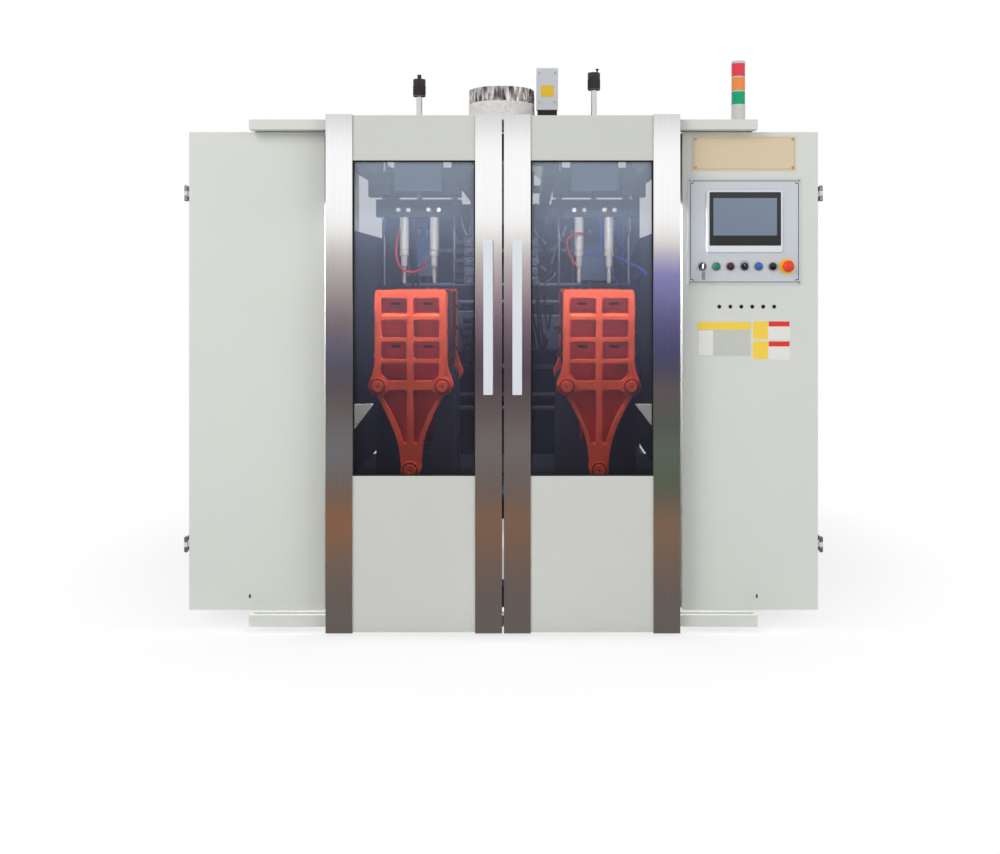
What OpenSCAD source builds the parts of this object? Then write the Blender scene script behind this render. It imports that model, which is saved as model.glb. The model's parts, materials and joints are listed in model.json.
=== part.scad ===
// Double station extrusion blow moulding machine.
// X runs across the machine, the front faces -Y and Z is up from the floor.
// Depths named d are measured back from the face of the doors' stainless strips.

/* [Whole machine] */
// Overall depth, from the door handles to the back of the frame
overall_d = 2600; // [2500:10:2900]
// Sheet thickness of panels and doors
sheet = 2; // [1.5:0.5:3]

/* [Sliding doors] */
// Width of one sliding door
door_w = 586; // [540:2:600]
// Height of the doors and their strips
door_h = 1725; // [1600:4:1800]
// Gap between the floor and the doors
door_floor_gap = 10; // [10:1:40]
// Gap between the two closed doors
door_gap = 6.6; // [4:0.2:12]
// Width of a stainless strip
strip_w = 89; // [70:1:110]
// Depth of a stainless strip, and of the door
strip_d = 34; // [28:1:40]
// Sheet thickness of the strips
strip_t = 1.5; // [1:0.5:3]
// Setback of the painted panel behind the strips
panel_setback = 5; // [2:0.5:10]
// How far the painted panel stays short of the strips' ends
panel_short = 3; // [0:1:20]
// Height of the painted panel below the window
lower_panel_h = 522; // [400:2:600]
// Height of the window
window_h = 1050; // [900:5:1100]
// Thickness of the tinted pane
pane_t = 5; // [3:1:8]
// Overlap of the pane behind the panel
pane_lap = 12; // [8:1:20]
// How far a door slides open
door_travel = 280; // [200:10:280]

/* [Door handles] */
// Length of a pull handle
handle_h = 510; // [300:10:600]
// Width of a pull handle
handle_w = 31; // [20:1:40]
// Thickness of the handle's flat bar
handle_t = 8; // [5:1:12]
// Height of the handles' lower end above the floor
handle_z = 806; // [700:2:900]
// How far the handles stand out from the strips
handle_reach = 38; // [30:1:60]
// Diameter of a handle post
handle_post = 16; // [10:1:20]

/* [Door rails] */
// Length of the rails
rail_len = 1702; // [1700:10:1800]
// Depth of a rail's section
rail_d = 47; // [40:1:50]
// Height of the top rail
top_rail_h = 34; // [30:1:45]
// Height of the bottom rail
bottom_rail_h = 40; // [30:1:45]
// Wall of a rail
rail_wall = 3; // [2:0.5:4]
// Slot in a rail for the door glides
rail_slot = 12; // [10:1:16]
// Free gap around the door glides
glide_gap = 1; // [0.5:0.5:2]

/* [Side cabinets] */
// Width of a side cabinet
cabinet_w = 470; // [420:1:500]
// Depth of a side cabinet behind its door
cabinet_d = 700; // [500:10:900]
// Height of a side cabinet
cabinet_h = 1625; // [1500:5:1625]
// Height of the cabinets above the floor
cabinet_z = 62; // [62:1:80]
// Setback of the cabinet doors behind the sliding doors' face
cabinet_setback = 87; // [80:1:100]
// Thickness of a cabinet door
cab_door_t = 26; // [20:1:32]
// Gap around a cabinet door
cab_door_gap = 2; // [1:0.5:4]
// Radius of the cabinet doors' edges
cab_door_round = 3; // [1:0.5:4]
// Width of the opening's return flange
cab_flange = 25; // [15:1:40]

/* [Cabinet hinges] */
// Diameter of a hinge pin
pin_dia = 6; // [5:0.5:8]
// Outer diameter of a hinge knuckle
knuckle_dia = 13; // [11:0.5:16]
// Height of one hinge
hinge_h = 51; // [40:1:70]
// Height of the lower hinges above the floor
hinge_low_z = 258; // [200:2:400]
// Height of the upper hinges above the floor
hinge_high_z = 1454; // [1300:2:1500]
// Radial clearance of the hinge pin
pin_clear = 0.05; // [0.02:0.01:0.1]

/* [Control panel] */
// Width of the control plate
plate_w = 388; // [360:1:400]
// Height of the control plate
plate_h = 364; // [340:1:400]
// Thickness of the control plate
plate_t = 2; // [1:0.5:4]
// Height of the control plate's lower edge
plate_z = 1167; // [1100:1:1200]
// Width of the operator panel
hmi_w = 261; // [220:1:300]
// Height of the operator panel
hmi_h = 212; // [180:1:220]
// How far the operator panel stands out from the plate
hmi_t = 6; // [4:1:10]
// Height of the operator panel above the plate's lower edge
hmi_rise = 110; // [100:1:130]
// Pitch of the controls in their row
button_pitch = 48; // [44:1:50]
// Height of the controls' row above the plate's lower edge
button_rise = 63; // [50:1:70]
// Diameter of a button's bezel
bezel_dia = 30; // [28:0.5:32]
// Height of a button's bezel
bezel_t = 6; // [4:0.5:10]
// Diameter of a button's cap
cap_dia = 22; // [18:0.5:24]
// How far a button's cap stands out of its bezel
cap_out = 4; // [3:0.5:8]
// Travel of a push button
button_travel = 4; // [2:0.5:4]
// Diameter of the emergency stop's collar
estop_collar = 52; // [46:1:60]
// Diameter of the emergency stop's mushroom
estop_dia = 40; // [36:1:44]

/* [Station layout] */
// Distance of each blow station from the machine's centre
station_x = 336; // [330:1:360]
// Place of the die head across the machine
die_x = -20; // [-30:1:0]
// Depth of the moulds' parting plane
parting_d = 575; // [560:1:600]

/* [Platens] */
// Width of a platen's upper plate
platen_w = 252; // [240:1:264]
// Height of a platen's top edge
platen_top = 1148; // [1130:1:1160]
// Full thickness of a platen, with its ribs
platen_t = 90; // [80:1:100]
// Thickness of a platen's back plate
platen_web = 35; // [25:1:45]
// Height of the upper tie bars
bar_high_z = 806; // [800:1:812]
// Height of the lower tie bar
bar_low_z = 509; // [500:1:520]
// Spacing of the upper tie bars
bar_span = 230; // [225:1:236]
// Diameter of a tie bar
bar_dia = 50; // [40:1:54]
// Radius of the bosses round the tie bars
boss_r = 34; // [34:1:40]
// How far a boss stands out of the ribs
boss_out = 8; // [4:1:14]
// Depth of the turned rings in a boss's face
ring_depth = 3; // [1:0.5:5]
// Width of the ribs
rib = 22; // [16:1:26]
// Height of one ribbed cell
cell_h = 64; // [56:1:68]
// Radius in the corners of the cells
cell_fillet = 8; // [3:1:10]
// Length of a core slot in a cell
slot_l = 38; // [30:1:50]
// Width of a core slot
slot_w = 10; // [6:1:14]
// Travel of each platen
clamp_travel = 110; // [90:1:115]
// Radial clearance of the tie bars in their bushes
bar_clear = 0.05; // [0.02:0.01:0.1]

/* [Moulds] */
// Width of a mould
mould_w = 244; // [236:1:248]
// Height of a mould
mould_h = 290; // [270:1:290]
// Thickness of one mould half
mould_t = 125; // [110:1:128]
// Height of a mould's lower face
mould_z = 848; // [844:1:852]
// Radius of a bottle cavity
cavity_r = 50; // [40:1:52]
// Height of a bottle cavity below its shoulder
cavity_h = 160; // [120:1:170]
// Radius of a cavity's neck
neck_r = 16; // [14:0.5:20]

/* [Carriages] */
// Width of a carriage
carriage_w = 300; // [280:1:306]
// Length of a carriage along the tie bars
carriage_d = 236; // [200:1:238]
// Height of a carriage's base plate
carriage_z = 443; // [440:1:450]
// Thickness of a carriage's base plate
carriage_t = 26; // [20:1:28]
// Width of a linear rail
lin_rail_w = 24; // [20:1:30]
// Height of a linear rail
lin_rail_h = 22; // [18:1:24]

/* [Blow stations] */
// Spacing of the two blow pins
pin_pitch = 116; // [110:1:120]
// Spacing of the guide columns
column_pitch = 270; // [260:1:280]
// Diameter of a guide column
column_dia = 25; // [20:1:30]
// Height of the blow head's underside
head_z = 1426; // [1420:1:1440]
// Height of the blow head's beam
head_h = 66; // [50:1:68]
// Depth of the blow head's beam
head_d = 60; // [50:1:70]
// Travel of the blow head
blow_travel = 80; // [60:1:82]
// Diameter of the stroke rod
stroke_rod = 23; // [18:1:30]
// Diameter of a stroke collar
collar_dia = 48; // [40:1:60]
// Height of the left collar's underside
left_collar_z = 1890; // [1870:1:1920]
// Height of the right collar's underside
right_collar_z = 1915; // [1870:1:1920]
// Height of a stroke collar
collar_h = 66; // [50:1:72]

/* [Die head and extruder] */
// Radius of the die head's body
die_r = 110; // [90:1:115]
// Outer radius of the foil round the die head
wrap_r = 128.5; // [120:0.5:130]
// Height of the foil's top
wrap_top = 1918; // [1900:1:1960]
// Height of the extruder's axis
screw_z = 1730; // [1725:1:1740]
// Radius of the extruder's barrel
barrel_r = 55; // [45:1:60]
// Radius over the heater bands
band_r = 74; // [66:1:80]
// Depth of the gearbox's front face
gearbox_d = 1850; // [1750:10:1900]
// Side length of the frame's square tube
post = 76; // [70:2:80]

/* [Stack light] */
// Diameter of the stack light
light_dia = 50; // [40:1:60]
// Height of one lens
lens_h = 45; // [40:1:47]
// Pitch of the lenses
lens_pitch = 51; // [50:1:56]
// Place of the stack light across the machine
light_x = 845; // [840:1:900]
// Depth of the stack light
light_d = 330; // [250:5:400]

/* [Hidden] */
$fn = 48;
front = -overall_d/2 + handle_reach;
rear_d = overall_d - handle_reach;

door_top = door_floor_gap + door_h;
door_outer = door_gap/2 + door_w;
panel_z0 = door_floor_gap + panel_short;
panel_z1 = door_top - panel_short;
panel_back = strip_d - 4;
pane_d0 = panel_setback + 10;
window_z = door_floor_gap + lower_panel_h;
window_x0 = door_gap/2 + strip_w;
window_x1 = door_outer - strip_w;
pane_margin = 12;
glide_l = 40;
glide_inner_x = door_gap/2 + strip_w/2;
glide_outer_x = door_outer - strip_w/2;
stiffener_h = 40;

rail_d0 = strip_d + 4;
rail_d1 = rail_d0 + rail_d;
rail_mid = (rail_d0 + rail_d1)/2;
top_rail_z = door_top - top_rail_h - 12;
bottom_rail_z = door_floor_gap + 10;
bottom_rail_z1 = bottom_rail_z + bottom_rail_h;
stop_x = glide_outer_x + glide_l/2 + door_travel + glide_gap;

cab_x1 = 1076;
cab_x0 = cab_x1 - cabinet_w;
cab_top = cabinet_z + cabinet_h;
cab_front = cabinet_setback + cab_door_t + cab_door_gap;
cab_back = cab_front + cabinet_d;
hinge_x = cab_x1 + knuckle_dia/2 - 1;
hinge_d = cabinet_setback + knuckle_dia/2;
door_leaf_x1 = cab_x1 - knuckle_dia/2;
mount_plate_d = cab_back - 60;
mount_plate_t = 3;

foot_dia = 70;
foot_pad_t = 18;
foot_stem_dia = 24;
foot_nut_dia = 40;
foot_nut_z = [30, 44];
frame_z = 60;
frame_top = frame_z + post;
post_x = cab_x0 - post/2;
inner_x = cab_x0 - post;
post_front = 122;
post_mid = 1500;
bulkhead_d = post_mid + 20;
guard_t = 2;
guard_z1 = 1380;
deck_z = 400;
deck_t = 15;
deck_beam = 60;
deck_d = [300, 1200];
header_h = 30;
header_gap = 4;
header_beam_h = 85;

plate_x = 625;
controls_x = plate_x + (plate_w - 6*button_pitch)/2;
controls_z = plate_z + button_rise;
plate_front = cabinet_setback - plate_t;
bezel_front = plate_front - bezel_t;
bezel_bore_r = bezel_dia/2 - 3;
stem_r = 6;
stem_clear = 0.05;
cap_clear = 0.4;
cap_travel_gap = 0.5;

platen_front = parting_d - clamp_travel - mould_t - platen_t;
mould_front = platen_front + platen_t;
rear_face = parting_d + clamp_travel + mould_t;
cell_pitch = cell_h + 13;
cell_top = platen_top - 28;
cell_w = platen_w/2 - rib/2 - rib;
bar_seat = 12;
taper_z0 = bar_low_z + boss_r;
taper_z1 = bar_high_z - 10;
taper_steps = 12;
boss_flare = [[0, 88], [3, 64], [9, 42], [17, 22]];
yoke_d = rear_face + platen_t + 40;
yoke_t = 50;
bar_nut_r = boss_r - 5;
bar_nut_h = 30;
cylinder_z = (2*bar_high_z + bar_low_z)/3;
cylinder_r = 52;
barrel_l = 2*clamp_travel + 60;
ram_r = 22;

lin_rail_z = deck_z + deck_t;
carriage_front = parting_d - carriage_d/2;
lin_rail_ds = [carriage_front + 30, carriage_front + carriage_d - 30];
bearing_x = 95;
bearing_w = 80;
bearing_d = 56;
bearing_clear = 0.3;
guide_wall = 40;
guide_r = boss_r - 2;
guide_inner_x = 45;
low_guide_w = 120;
link_h = 30;
cross_rod_d = 1430;
cross_rod_r = 11;
cross_rod_z = [592, 653];

stub_dia = 16;
stub_h = 18;
column_top = 1760;
rod_tip_z = 1165;
tip_rod_r = 6;
bush_z0 = head_z + head_h + 18;
bush_z1 = bush_z0 + 90;
bush_w = 56;
cylinder_z0 = bush_z0 + 12;
cylinder_z1 = left_collar_z - blow_travel - 85;
cylinder_w = 180;
cylinder_out = 25;
blow_clear = 0.05;
back_d0 = parting_d + head_d/2;
back_t = 30;
arm_d = 60;
arm_t = 12;
bolt_offset = 19;
pin_seat = 40;

beam_z0 = 1540;
beam_z1 = 1640;
beam_x0 = 140;
beam_x1 = beam_x0 + 40;
die_d = parting_d + 42;
die_top = wrap_top - 14;
die_z0 = 1500;
manifold_z0 = 1400;
nozzle_z0 = 1260;
nozzle_r = 48;
head_plate_t = 20;
lip_z = 1180;
lip_r = 26;
foil_z = 1862;
cloth_inset = 2.5;
box_x = [115, 198];
box_d = [570, 665];
box_z = [1849, 1999];
box_foot_z = [1820, 1849];
box_foot_inset = 4;
lid_inset = 12;
lid_out = 2;
arm_x = [beam_x0 + 8, beam_x1 - 8];

band_l = 110;
band_gap = 16;
hopper_d = gearbox_d - 130;
throat_r = 45;
hopper_r = 110;
hopper_wall = 3;
cone_z = [1830, 1940];
hopper_top = 1980;
gearbox_l = 260;
gearbox_w = 260;
gearbox_top = 1930;
gearbox_foot_t = 20;
motor_d = gearbox_d + gearbox_l;
motor_z = 1800;
motor_r = 120;
motor_flange_r = 140;
fan_cover_r = 108;

tank_w = 840;
tank_z = [176, 620];
tank_margin = 40;
leg_x = 340;
leg_w = 40;
pump_x = [-300, 200];
pump_plate_t = 20;
pump_d = 1950;
pump_z = 800;
pump_foot_d = 100;
pump_foot_t = 40;

light_foot_h = 12;
light_stem_r = 11;
light_socket_h = 60;
light_cap_h = 10;
lens_z0 = 1819;

paint = [0.84, 0.85, 0.82];
steel = [0.72, 0.73, 0.74];
dark = [0.16, 0.17, 0.2];
casting = [0.86, 0.33, 0.18];
blue_grey = [0.35, 0.4, 0.48];

// A block between two corners, with depths measured from the strips' face
module span(x, d, z) {
    translate([x[0], front + d[0], z[0]])
        cube([x[1] - x[0], d[1] - d[0], z[1] - z[0]]);
}

// A flat shape drawn in X and Z, made solid from depth d0 over a thickness t
module plate_xz(d0, t) {
    translate([0, front + d0 + t, 0]) rotate([90, 0, 0]) linear_extrude(t) children();
}

// A flat shape drawn in depth and Z, made solid from x0 over a length l
module plate_dz(x0, l) {
    translate([x0, front, 0]) rotate([90, 0, 90]) linear_extrude(l) children();
}

module rod_y(x, z, d, r) {
    plate_xz(d[0], d[1] - d[0]) translate([x, z]) circle(r);
}

module rod_x(x, d, z, r) {
    translate([x[0], front + d, z]) rotate([0, 90, 0]) cylinder(h = x[1] - x[0], r = r);
}

module rod_z(x, d, z, r) {
    translate([x, front + d, z[0]]) cylinder(h = z[1] - z[0], r = r);
}

module rounded_square(size, r) {
    x = size[0];
    y = size[1];
    union() {
        translate([r, 0]) square([x - 2*r, y]);
        translate([0, r]) square([x, y - 2*r]);
        for (i = [r, x - r], j = [r, y - r]) translate([i, j]) circle(r);
    }
}

module slot_2d(l, w) {
    square([l - w, w], center = true);
    for (side = [-1, 1]) translate([side*(l - w)/2, 0]) circle(w/2);
}

module both_sides() {
    children();
    mirror([1, 0, 0]) children();
}

// Frame

module base_frame() color(dark) {
    beam_z = [deck_z - deck_beam, deck_z];
    for (d = [post_front, post_mid, rear_d - post]) {
        span([-inner_x, inner_x], [d, d + post], [frame_z, frame_top]);
    }
    both_sides() {
        span([inner_x, cab_x0], [post_front, rear_d], [frame_z, frame_top]);
        span([inner_x, cab_x0], [post_front + post, post_mid], beam_z);
    }
    for (d = lin_rail_ds) span([-inner_x, inner_x], [d - 25, d + 25], beam_z);
    span([-cab_x0, cab_x0], deck_d, [deck_z, deck_z + deck_t]);
}

module levelling_feet() color(steel)
    for (side = [-1, 1], d = [post_front, post_mid, rear_d - post]) {
        rod_z(side*post_x, d + post/2, [0, foot_pad_t], foot_dia/2);
        rod_z(side*post_x, d + post/2, [foot_pad_t, frame_z], foot_stem_dia/2);
        rod_z(side*post_x, d + post/2, foot_nut_z, foot_nut_dia/2, $fn = 6);
    }

module upper_frame() color(dark) {
    top = cab_top;
    both_sides() {
        for (d = [post_front, post_mid]) {
            span([inner_x, cab_x0], [d, d + post], [frame_top, top]);
        }
        span([inner_x, cab_x0], [rear_d - post, rear_d], [frame_top, beam_z0]);
        span([inner_x, cab_x0], [post_front + post, post_mid], [top - post, top]);
        span([beam_x0, beam_x1], [post_front, rear_d], [beam_z0, beam_z1]);
        span([inner_x - 10, cab_x0 - 6], [rail_d1 + 5, post_front],
             [top - post + header_h - 1, top + header_gap]);
        span([cab_x0 - guard_t, cab_x0], [post_front + post, post_mid], [deck_z + deck_t, guard_z1]);
    }
    span([-inner_x, inner_x], [post_front, post_front + post], [top - header_beam_h, top]);
    for (d = [post_mid, rear_d - post]) {
        span([-inner_x, inner_x], [d, d + post], [beam_z0 - post, beam_z0]);
    }
    span([-inner_x, inner_x], [bulkhead_d, bulkhead_d + sheet], [frame_top, beam_z0 - post]);
    span([-rail_len/2, rail_len/2], [rail_d1, post_front],
         [top + header_gap, top + header_gap + header_h]);
}

// Cabinets

module cabinet_shell() {
    difference() {
        span([cab_x0, cab_x1], [cab_front, cab_back], [cabinet_z, cab_top]);
        span([cab_x0 + sheet, cab_x1 - sheet], [cab_front + sheet, cab_back - sheet],
             [cabinet_z + sheet, cab_top - sheet]);
        span([cab_x0 + cab_flange, cab_x1 - cab_flange], [cab_front - 1, cab_front + sheet + 1],
             [cabinet_z + cab_flange, cab_top - cab_flange]);
    }
}

module left_cabinet() color(paint) mirror([1, 0, 0]) cabinet_shell();

module right_cabinet() {
    post_d = [mount_plate_d + mount_plate_t, cab_back - sheet];
    color(paint) cabinet_shell();
    color(steel) {
        span([cab_x0 + 40, cab_x1 - 40], [mount_plate_d, mount_plate_d + mount_plate_t],
             [cabinet_z + 100, cab_top - 100]);
        for (x = [cab_x0 + 80, cab_x1 - 80], z = [cabinet_z + 200, cab_top - 200]) {
            rod_y(x, z, post_d, 8);
        }
    }
}

// A folded door: a rounded tray, open at the back
module cabinet_leaf() {
    x0 = cab_x0 + cab_door_gap;
    w = door_leaf_x1 - x0;
    z0 = cabinet_z;
    h = cabinet_h;
    difference() {
        plate_xz(cabinet_setback, cab_door_t)
            translate([x0, z0]) rounded_square([w, h], cab_door_round);
        plate_xz(cabinet_setback + sheet, cab_door_t)
            translate([x0 + sheet, z0 + sheet]) square([w - 2*sheet, h - 2*sheet]);
    }
    for (z = [hinge_low_z, hinge_high_z]) leaf_knuckle(z);
}

module leaf_knuckle(z) {
    third = hinge_h/3;
    difference() {
        union() {
            rod_z(hinge_x, hinge_d, [z + third + 0.5, z + 2*third - 0.5], knuckle_dia/2);
            span([door_leaf_x1 - sheet, hinge_x], [hinge_d + 1, hinge_d + 4],
                 [z + third + 0.5, z + 2*third - 0.5]);
        }
        rod_z(hinge_x, hinge_d, [z, z + hinge_h], pin_dia/2 + pin_clear);
    }
}

module left_side_door() color(paint) mirror([1, 0, 0]) cabinet_leaf();

module control_door() color(paint) cabinet_leaf();

module hinge_pins() color(steel) both_sides() {
    third = hinge_h/3;
    for (z = [hinge_low_z, hinge_high_z]) {
        rod_z(hinge_x, hinge_d, [z - 2, z + hinge_h + 2], pin_dia/2);
        for (k = [0, 2]) difference() {
            union() {
                rod_z(hinge_x, hinge_d, [z + k*third, z + (k + 1)*third], knuckle_dia/2);
                span([hinge_x - 3, hinge_x + 1], [hinge_d, cab_front + 40],
                     [z + k*third, z + (k + 1)*third]);
            }
            rod_z(hinge_x, hinge_d, [z - 1, z + hinge_h + 1], pin_dia/2);
        }
        span([cab_x1, hinge_x - 3], [cab_front + 2, cab_front + 40], [z, z + hinge_h]);
    }
}

// Door rails

module rail_profile(h, slot_side) {
    difference() {
        square([rail_d, h]);
        translate([rail_wall, rail_wall]) square([rail_d - 2*rail_wall, h - 2*rail_wall]);
        translate([(rail_d - rail_slot)/2, slot_side*(h - rail_wall) - 0.5])
            square([rail_slot, rail_wall + 1]);
    }
}

// A rail with its end caps and the stops that end the doors' travel
module door_rail(z, h, slot_side) {
    plate_dz(-rail_len/2, rail_len) translate([rail_d0, z]) rail_profile(h, slot_side);
    both_sides() {
        span([rail_len/2, rail_len/2 + 3], [rail_d0, rail_d1], [z, z + h]);
        span([stop_x, rail_len/2], [rail_d0 + rail_wall, rail_d1 - rail_wall],
             [z + rail_wall, z + h - rail_wall]);
    }
}

module top_rail() color(paint) door_rail(top_rail_z, top_rail_h, 0);

module bottom_rail() color(paint) {
    bracket_z = [bottom_rail_z + 5, bottom_rail_z1 - 5];
    door_rail(bottom_rail_z, bottom_rail_h, 1);
    both_sides() {
        span([post_x - 20, post_x + 20], [rail_d1, post_front], bracket_z);
        span([post_x - 30, post_x + 30], [post_front - 8, post_front],
             [bracket_z[0], frame_top]);
    }
}

// Sliding doors, drawn for the right side

module door_panel() {
    recess_x = [window_x0 - pane_margin, window_x1 + pane_margin];
    difference() {
        span([recess_x[0] - sheet, recess_x[1] + sheet], [panel_setback, panel_back],
             [panel_z0, panel_z1]);
        span(recess_x, [panel_setback + sheet, panel_back + 1],
             [panel_z0 + sheet, window_z - 30]);
        span(recess_x, [panel_setback + sheet, panel_back + 1],
             [window_z + window_h + 30, panel_z1 - sheet]);
        span([window_x0, window_x1], [0, strip_d], [window_z, window_z + window_h]);
        span(recess_x, [pane_d0, strip_d],
             [window_z - pane_lap, window_z + window_h + pane_lap]);
    }
}

module door_window()
    span([window_x0 - pane_margin, window_x1 + pane_margin], [pane_d0, pane_d0 + pane_t],
         [window_z - pane_lap, window_z + window_h + pane_lap]);

// A strip is a folded channel, open to the back
module door_strip(x0) {
    difference() {
        span([x0, x0 + strip_w], [0, strip_d], [door_floor_gap, door_top]);
        span([x0 + strip_t, x0 + strip_w - strip_t], [strip_t, strip_d + 1],
             [door_floor_gap + strip_t, door_top - strip_t]);
        span([x0 - 1, x0 + strip_w + 1], [panel_setback, strip_d + 1], [panel_z0, panel_z1]);
    }
    side = x0 < door_w/2 ? x0 : x0 + strip_w - strip_t;
    span([side, side + strip_t], [strip_t, strip_d], [panel_z0, panel_z1]);
    for (z = [panel_z0 + 50, (panel_z0 + panel_z1)/2, panel_z1 - 100]) {
        span([x0 + strip_t, x0 + strip_w - strip_t], [strip_t, panel_setback],
             [z, z + stiffener_h]);
    }
}

module door_strips() {
    door_strip(door_gap/2);
    door_strip(door_outer - strip_w);
}

module door_handle() {
    x = door_gap/2 + strip_w/2;
    plate_xz(-handle_reach, handle_t)
        translate([x - handle_w/2, handle_z]) rounded_square([handle_w, handle_h], 2);
    for (z = [handle_z + 50, handle_z + handle_h - 50]) {
        rod_y(x, z, [-handle_reach + handle_t, 0], handle_post/2);
    }
}

// Glide blocks that hang in the top rail and run in the bottom rail
module door_glides() {
    wide = rail_d - 2*rail_wall - 2*glide_gap;
    neck = rail_slot - 2*glide_gap;
    neck_l = glide_l - 10;
    head_z0 = top_rail_z + rail_wall + glide_gap;
    for (x = [glide_inner_x, glide_outer_x]) {
        neck_x = [x - neck_l/2, x + neck_l/2];
        neck_d = [rail_mid - neck/2, rail_mid + neck/2];
        span([x - glide_l/2, x + glide_l/2], [rail_mid - wide/2, rail_mid + wide/2],
             [head_z0, top_rail_z + top_rail_h - rail_wall - glide_gap]);
        span(neck_x, neck_d, [head_z0 - 30, head_z0]);
        span(neck_x, [panel_setback, neck_d[1]], [head_z0 - 36, head_z0 - 30]);
        span(neck_x, neck_d, [bottom_rail_z1 - 20, bottom_rail_z1 + 16]);
        span(neck_x, [panel_setback, neck_d[1]], [bottom_rail_z1 + 16, bottom_rail_z1 + 22]);
    }
}

module left_door_panel() color(paint) mirror([1, 0, 0]) door_panel();
module left_door_window() color([0.2, 0.22, 0.3, 0.6]) mirror([1, 0, 0]) door_window();
module left_door_strips() color(steel) mirror([1, 0, 0]) door_strips();
module left_door_handle() color(steel) mirror([1, 0, 0]) door_handle();
module left_door_glides() color("white") mirror([1, 0, 0]) door_glides();
module right_door_panel() color(paint) door_panel();
module right_door_window() color([0.2, 0.22, 0.3, 0.6]) door_window();
module right_door_strips() color(steel) door_strips();
module right_door_handle() color(steel) door_handle();
module right_door_glides() color("white") door_glides();

// Control panel

module control_plate() color([0.8, 0.81, 0.83])
    difference() {
        plate_xz(plate_front, plate_t)
            translate([plate_x, plate_z]) rounded_square([plate_w, plate_h], 4);
        for (i = [0:6]) rod_y(controls_x + i*button_pitch, controls_z,
                              [plate_front - 1, cabinet_setback + 1], bezel_bore_r);
    }

module operator_panel() color([0.3, 0.31, 0.33]) {
    x0 = plate_x + (plate_w - hmi_w)/2;
    plate_xz(plate_front - hmi_t, hmi_t)
        translate([x0, plate_z + hmi_rise]) rounded_square([hmi_w, hmi_h], 8);
}

function control_x(i) = controls_x + i*button_pitch;

// Bezel of one control, recessed for its cap and bored for its stem
module bezel(i, outer, recess) {
    difference() {
        rod_y(control_x(i), controls_z, [bezel_front, plate_front], outer);
        rod_y(control_x(i), controls_z, [bezel_front - 1, plate_front + 1], recess);
    }
    difference() {
        rod_y(control_x(i), controls_z, [plate_front - 1, cabinet_setback], bezel_bore_r);
        rod_y(control_x(i), controls_z, [plate_front - 2, cabinet_setback + 1],
              stem_r + stem_clear);
    }
}

module button_bezels() color(steel) {
    for (i = [0, 1, 3, 4, 5]) bezel(i, bezel_dia/2, cap_dia/2 + cap_clear);
    bezel(6, estop_collar/2, 10);
    rod_y(control_x(2), controls_z, [bezel_front - 4, cabinet_setback], bezel_bore_r);
    rod_y(control_x(2), controls_z, [bezel_front, plate_front], bezel_dia/2);
}

// A push button: a cap that sinks flush into its bezel, on a stem
module push_button(i) {
    face = bezel_front - cap_out;
    rod_y(control_x(i), controls_z, [face, plate_front - 1 - button_travel - cap_travel_gap],
          cap_dia/2);
    rod_y(control_x(i), controls_z, [face, cabinet_setback - button_travel - 1], stem_r);
}

module green_button() color("green") push_button(1);
module blue_button() color([0.15, 0.35, 0.8]) push_button(4);
module black_button() color([0.1, 0.1, 0.1]) push_button(5);

module key_switch() color([0.15, 0.15, 0.16]) {
    x = control_x(0);
    rod_y(x, controls_z, [bezel_front - 3, cabinet_setback - 1], stem_r);
    rod_y(x, controls_z, [bezel_front - 3, plate_front - 1 - cap_travel_gap], cap_dia/2);
    span([x - 1.2, x + 1.2], [bezel_front - 26, bezel_front - 3],
         [controls_z - 4, controls_z + 4]);
    plate_xz(bezel_front - 26, 2.4) translate([x, controls_z]) circle(9);
}

module selector_switch() color([0.1, 0.1, 0.1]) {
    x = control_x(3);
    rod_y(x, controls_z, [bezel_front - 6, cabinet_setback - 1], stem_r);
    rod_y(x, controls_z, [bezel_front - 6, plate_front - 1 - cap_travel_gap], cap_dia/2);
    plate_xz(bezel_front - 18, 12) translate([x, controls_z]) slot_2d(cap_dia - 2, 7);
}

module estop_button() color("red") {
    x = control_x(6);
    rod_y(x, controls_z, [bezel_front - 12, cabinet_setback - 6], stem_r);
    translate([x, front + bezel_front - 12, controls_z]) rotate([90, 0, 0])
        rotate_extrude() intersection() {
            square([estop_dia/2, 16]);
            union() {
                translate([0, 0]) square([estop_dia/2, 8]);
                translate([0, 8]) scale([1, 0.4]) circle(estop_dia/2);
            }
        }
}

// Platens

// Half width of a platen's lower part, at a share t of its height
function taper(t) = boss_r + 1 + (platen_w/2 - boss_r + 8)*pow(t, 1.7);

// Half outline of a platen, from its centre line outwards, grown by g
module platen_half(g) {
    top_cut = 12;
    polygon(concat(
        [[0, platen_top + g], [platen_w/2 - top_cut/2 + g, platen_top + g],
         [platen_w/2 + g, platen_top - top_cut + g],
         for (p = boss_flare) [platen_w/2 + p[0] + g, bar_high_z + p[1]]],
        [for (i = [taper_steps:-1:0]) let (t = i/taper_steps)
            [taper(t) + g, taper_z0 + (taper_z1 - taper_z0)*t]],
        [[boss_r - 6 + g, bar_low_z], [0, bar_low_z]]));
}

module platen_outline() {
    platen_half(0);
    mirror([1, 0]) platen_half(0);
    for (side = [-1, 1]) translate([side*bar_span/2, bar_high_z]) circle(boss_r);
    translate([0, bar_low_z]) circle(boss_r);
}

// One cell beside the centre rib, with its outer lower corner cut
module cell(row, cut) {
    z1 = cell_top - row*cell_pitch;
    z0 = z1 - cell_h;
    polygon([[rib/2, z1], [rib/2 + cell_w, z1], [rib/2 + cell_w, z0 + cut],
             [rib/2 + cell_w - cut, z0], [rib/2, z0]]);
}

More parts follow.
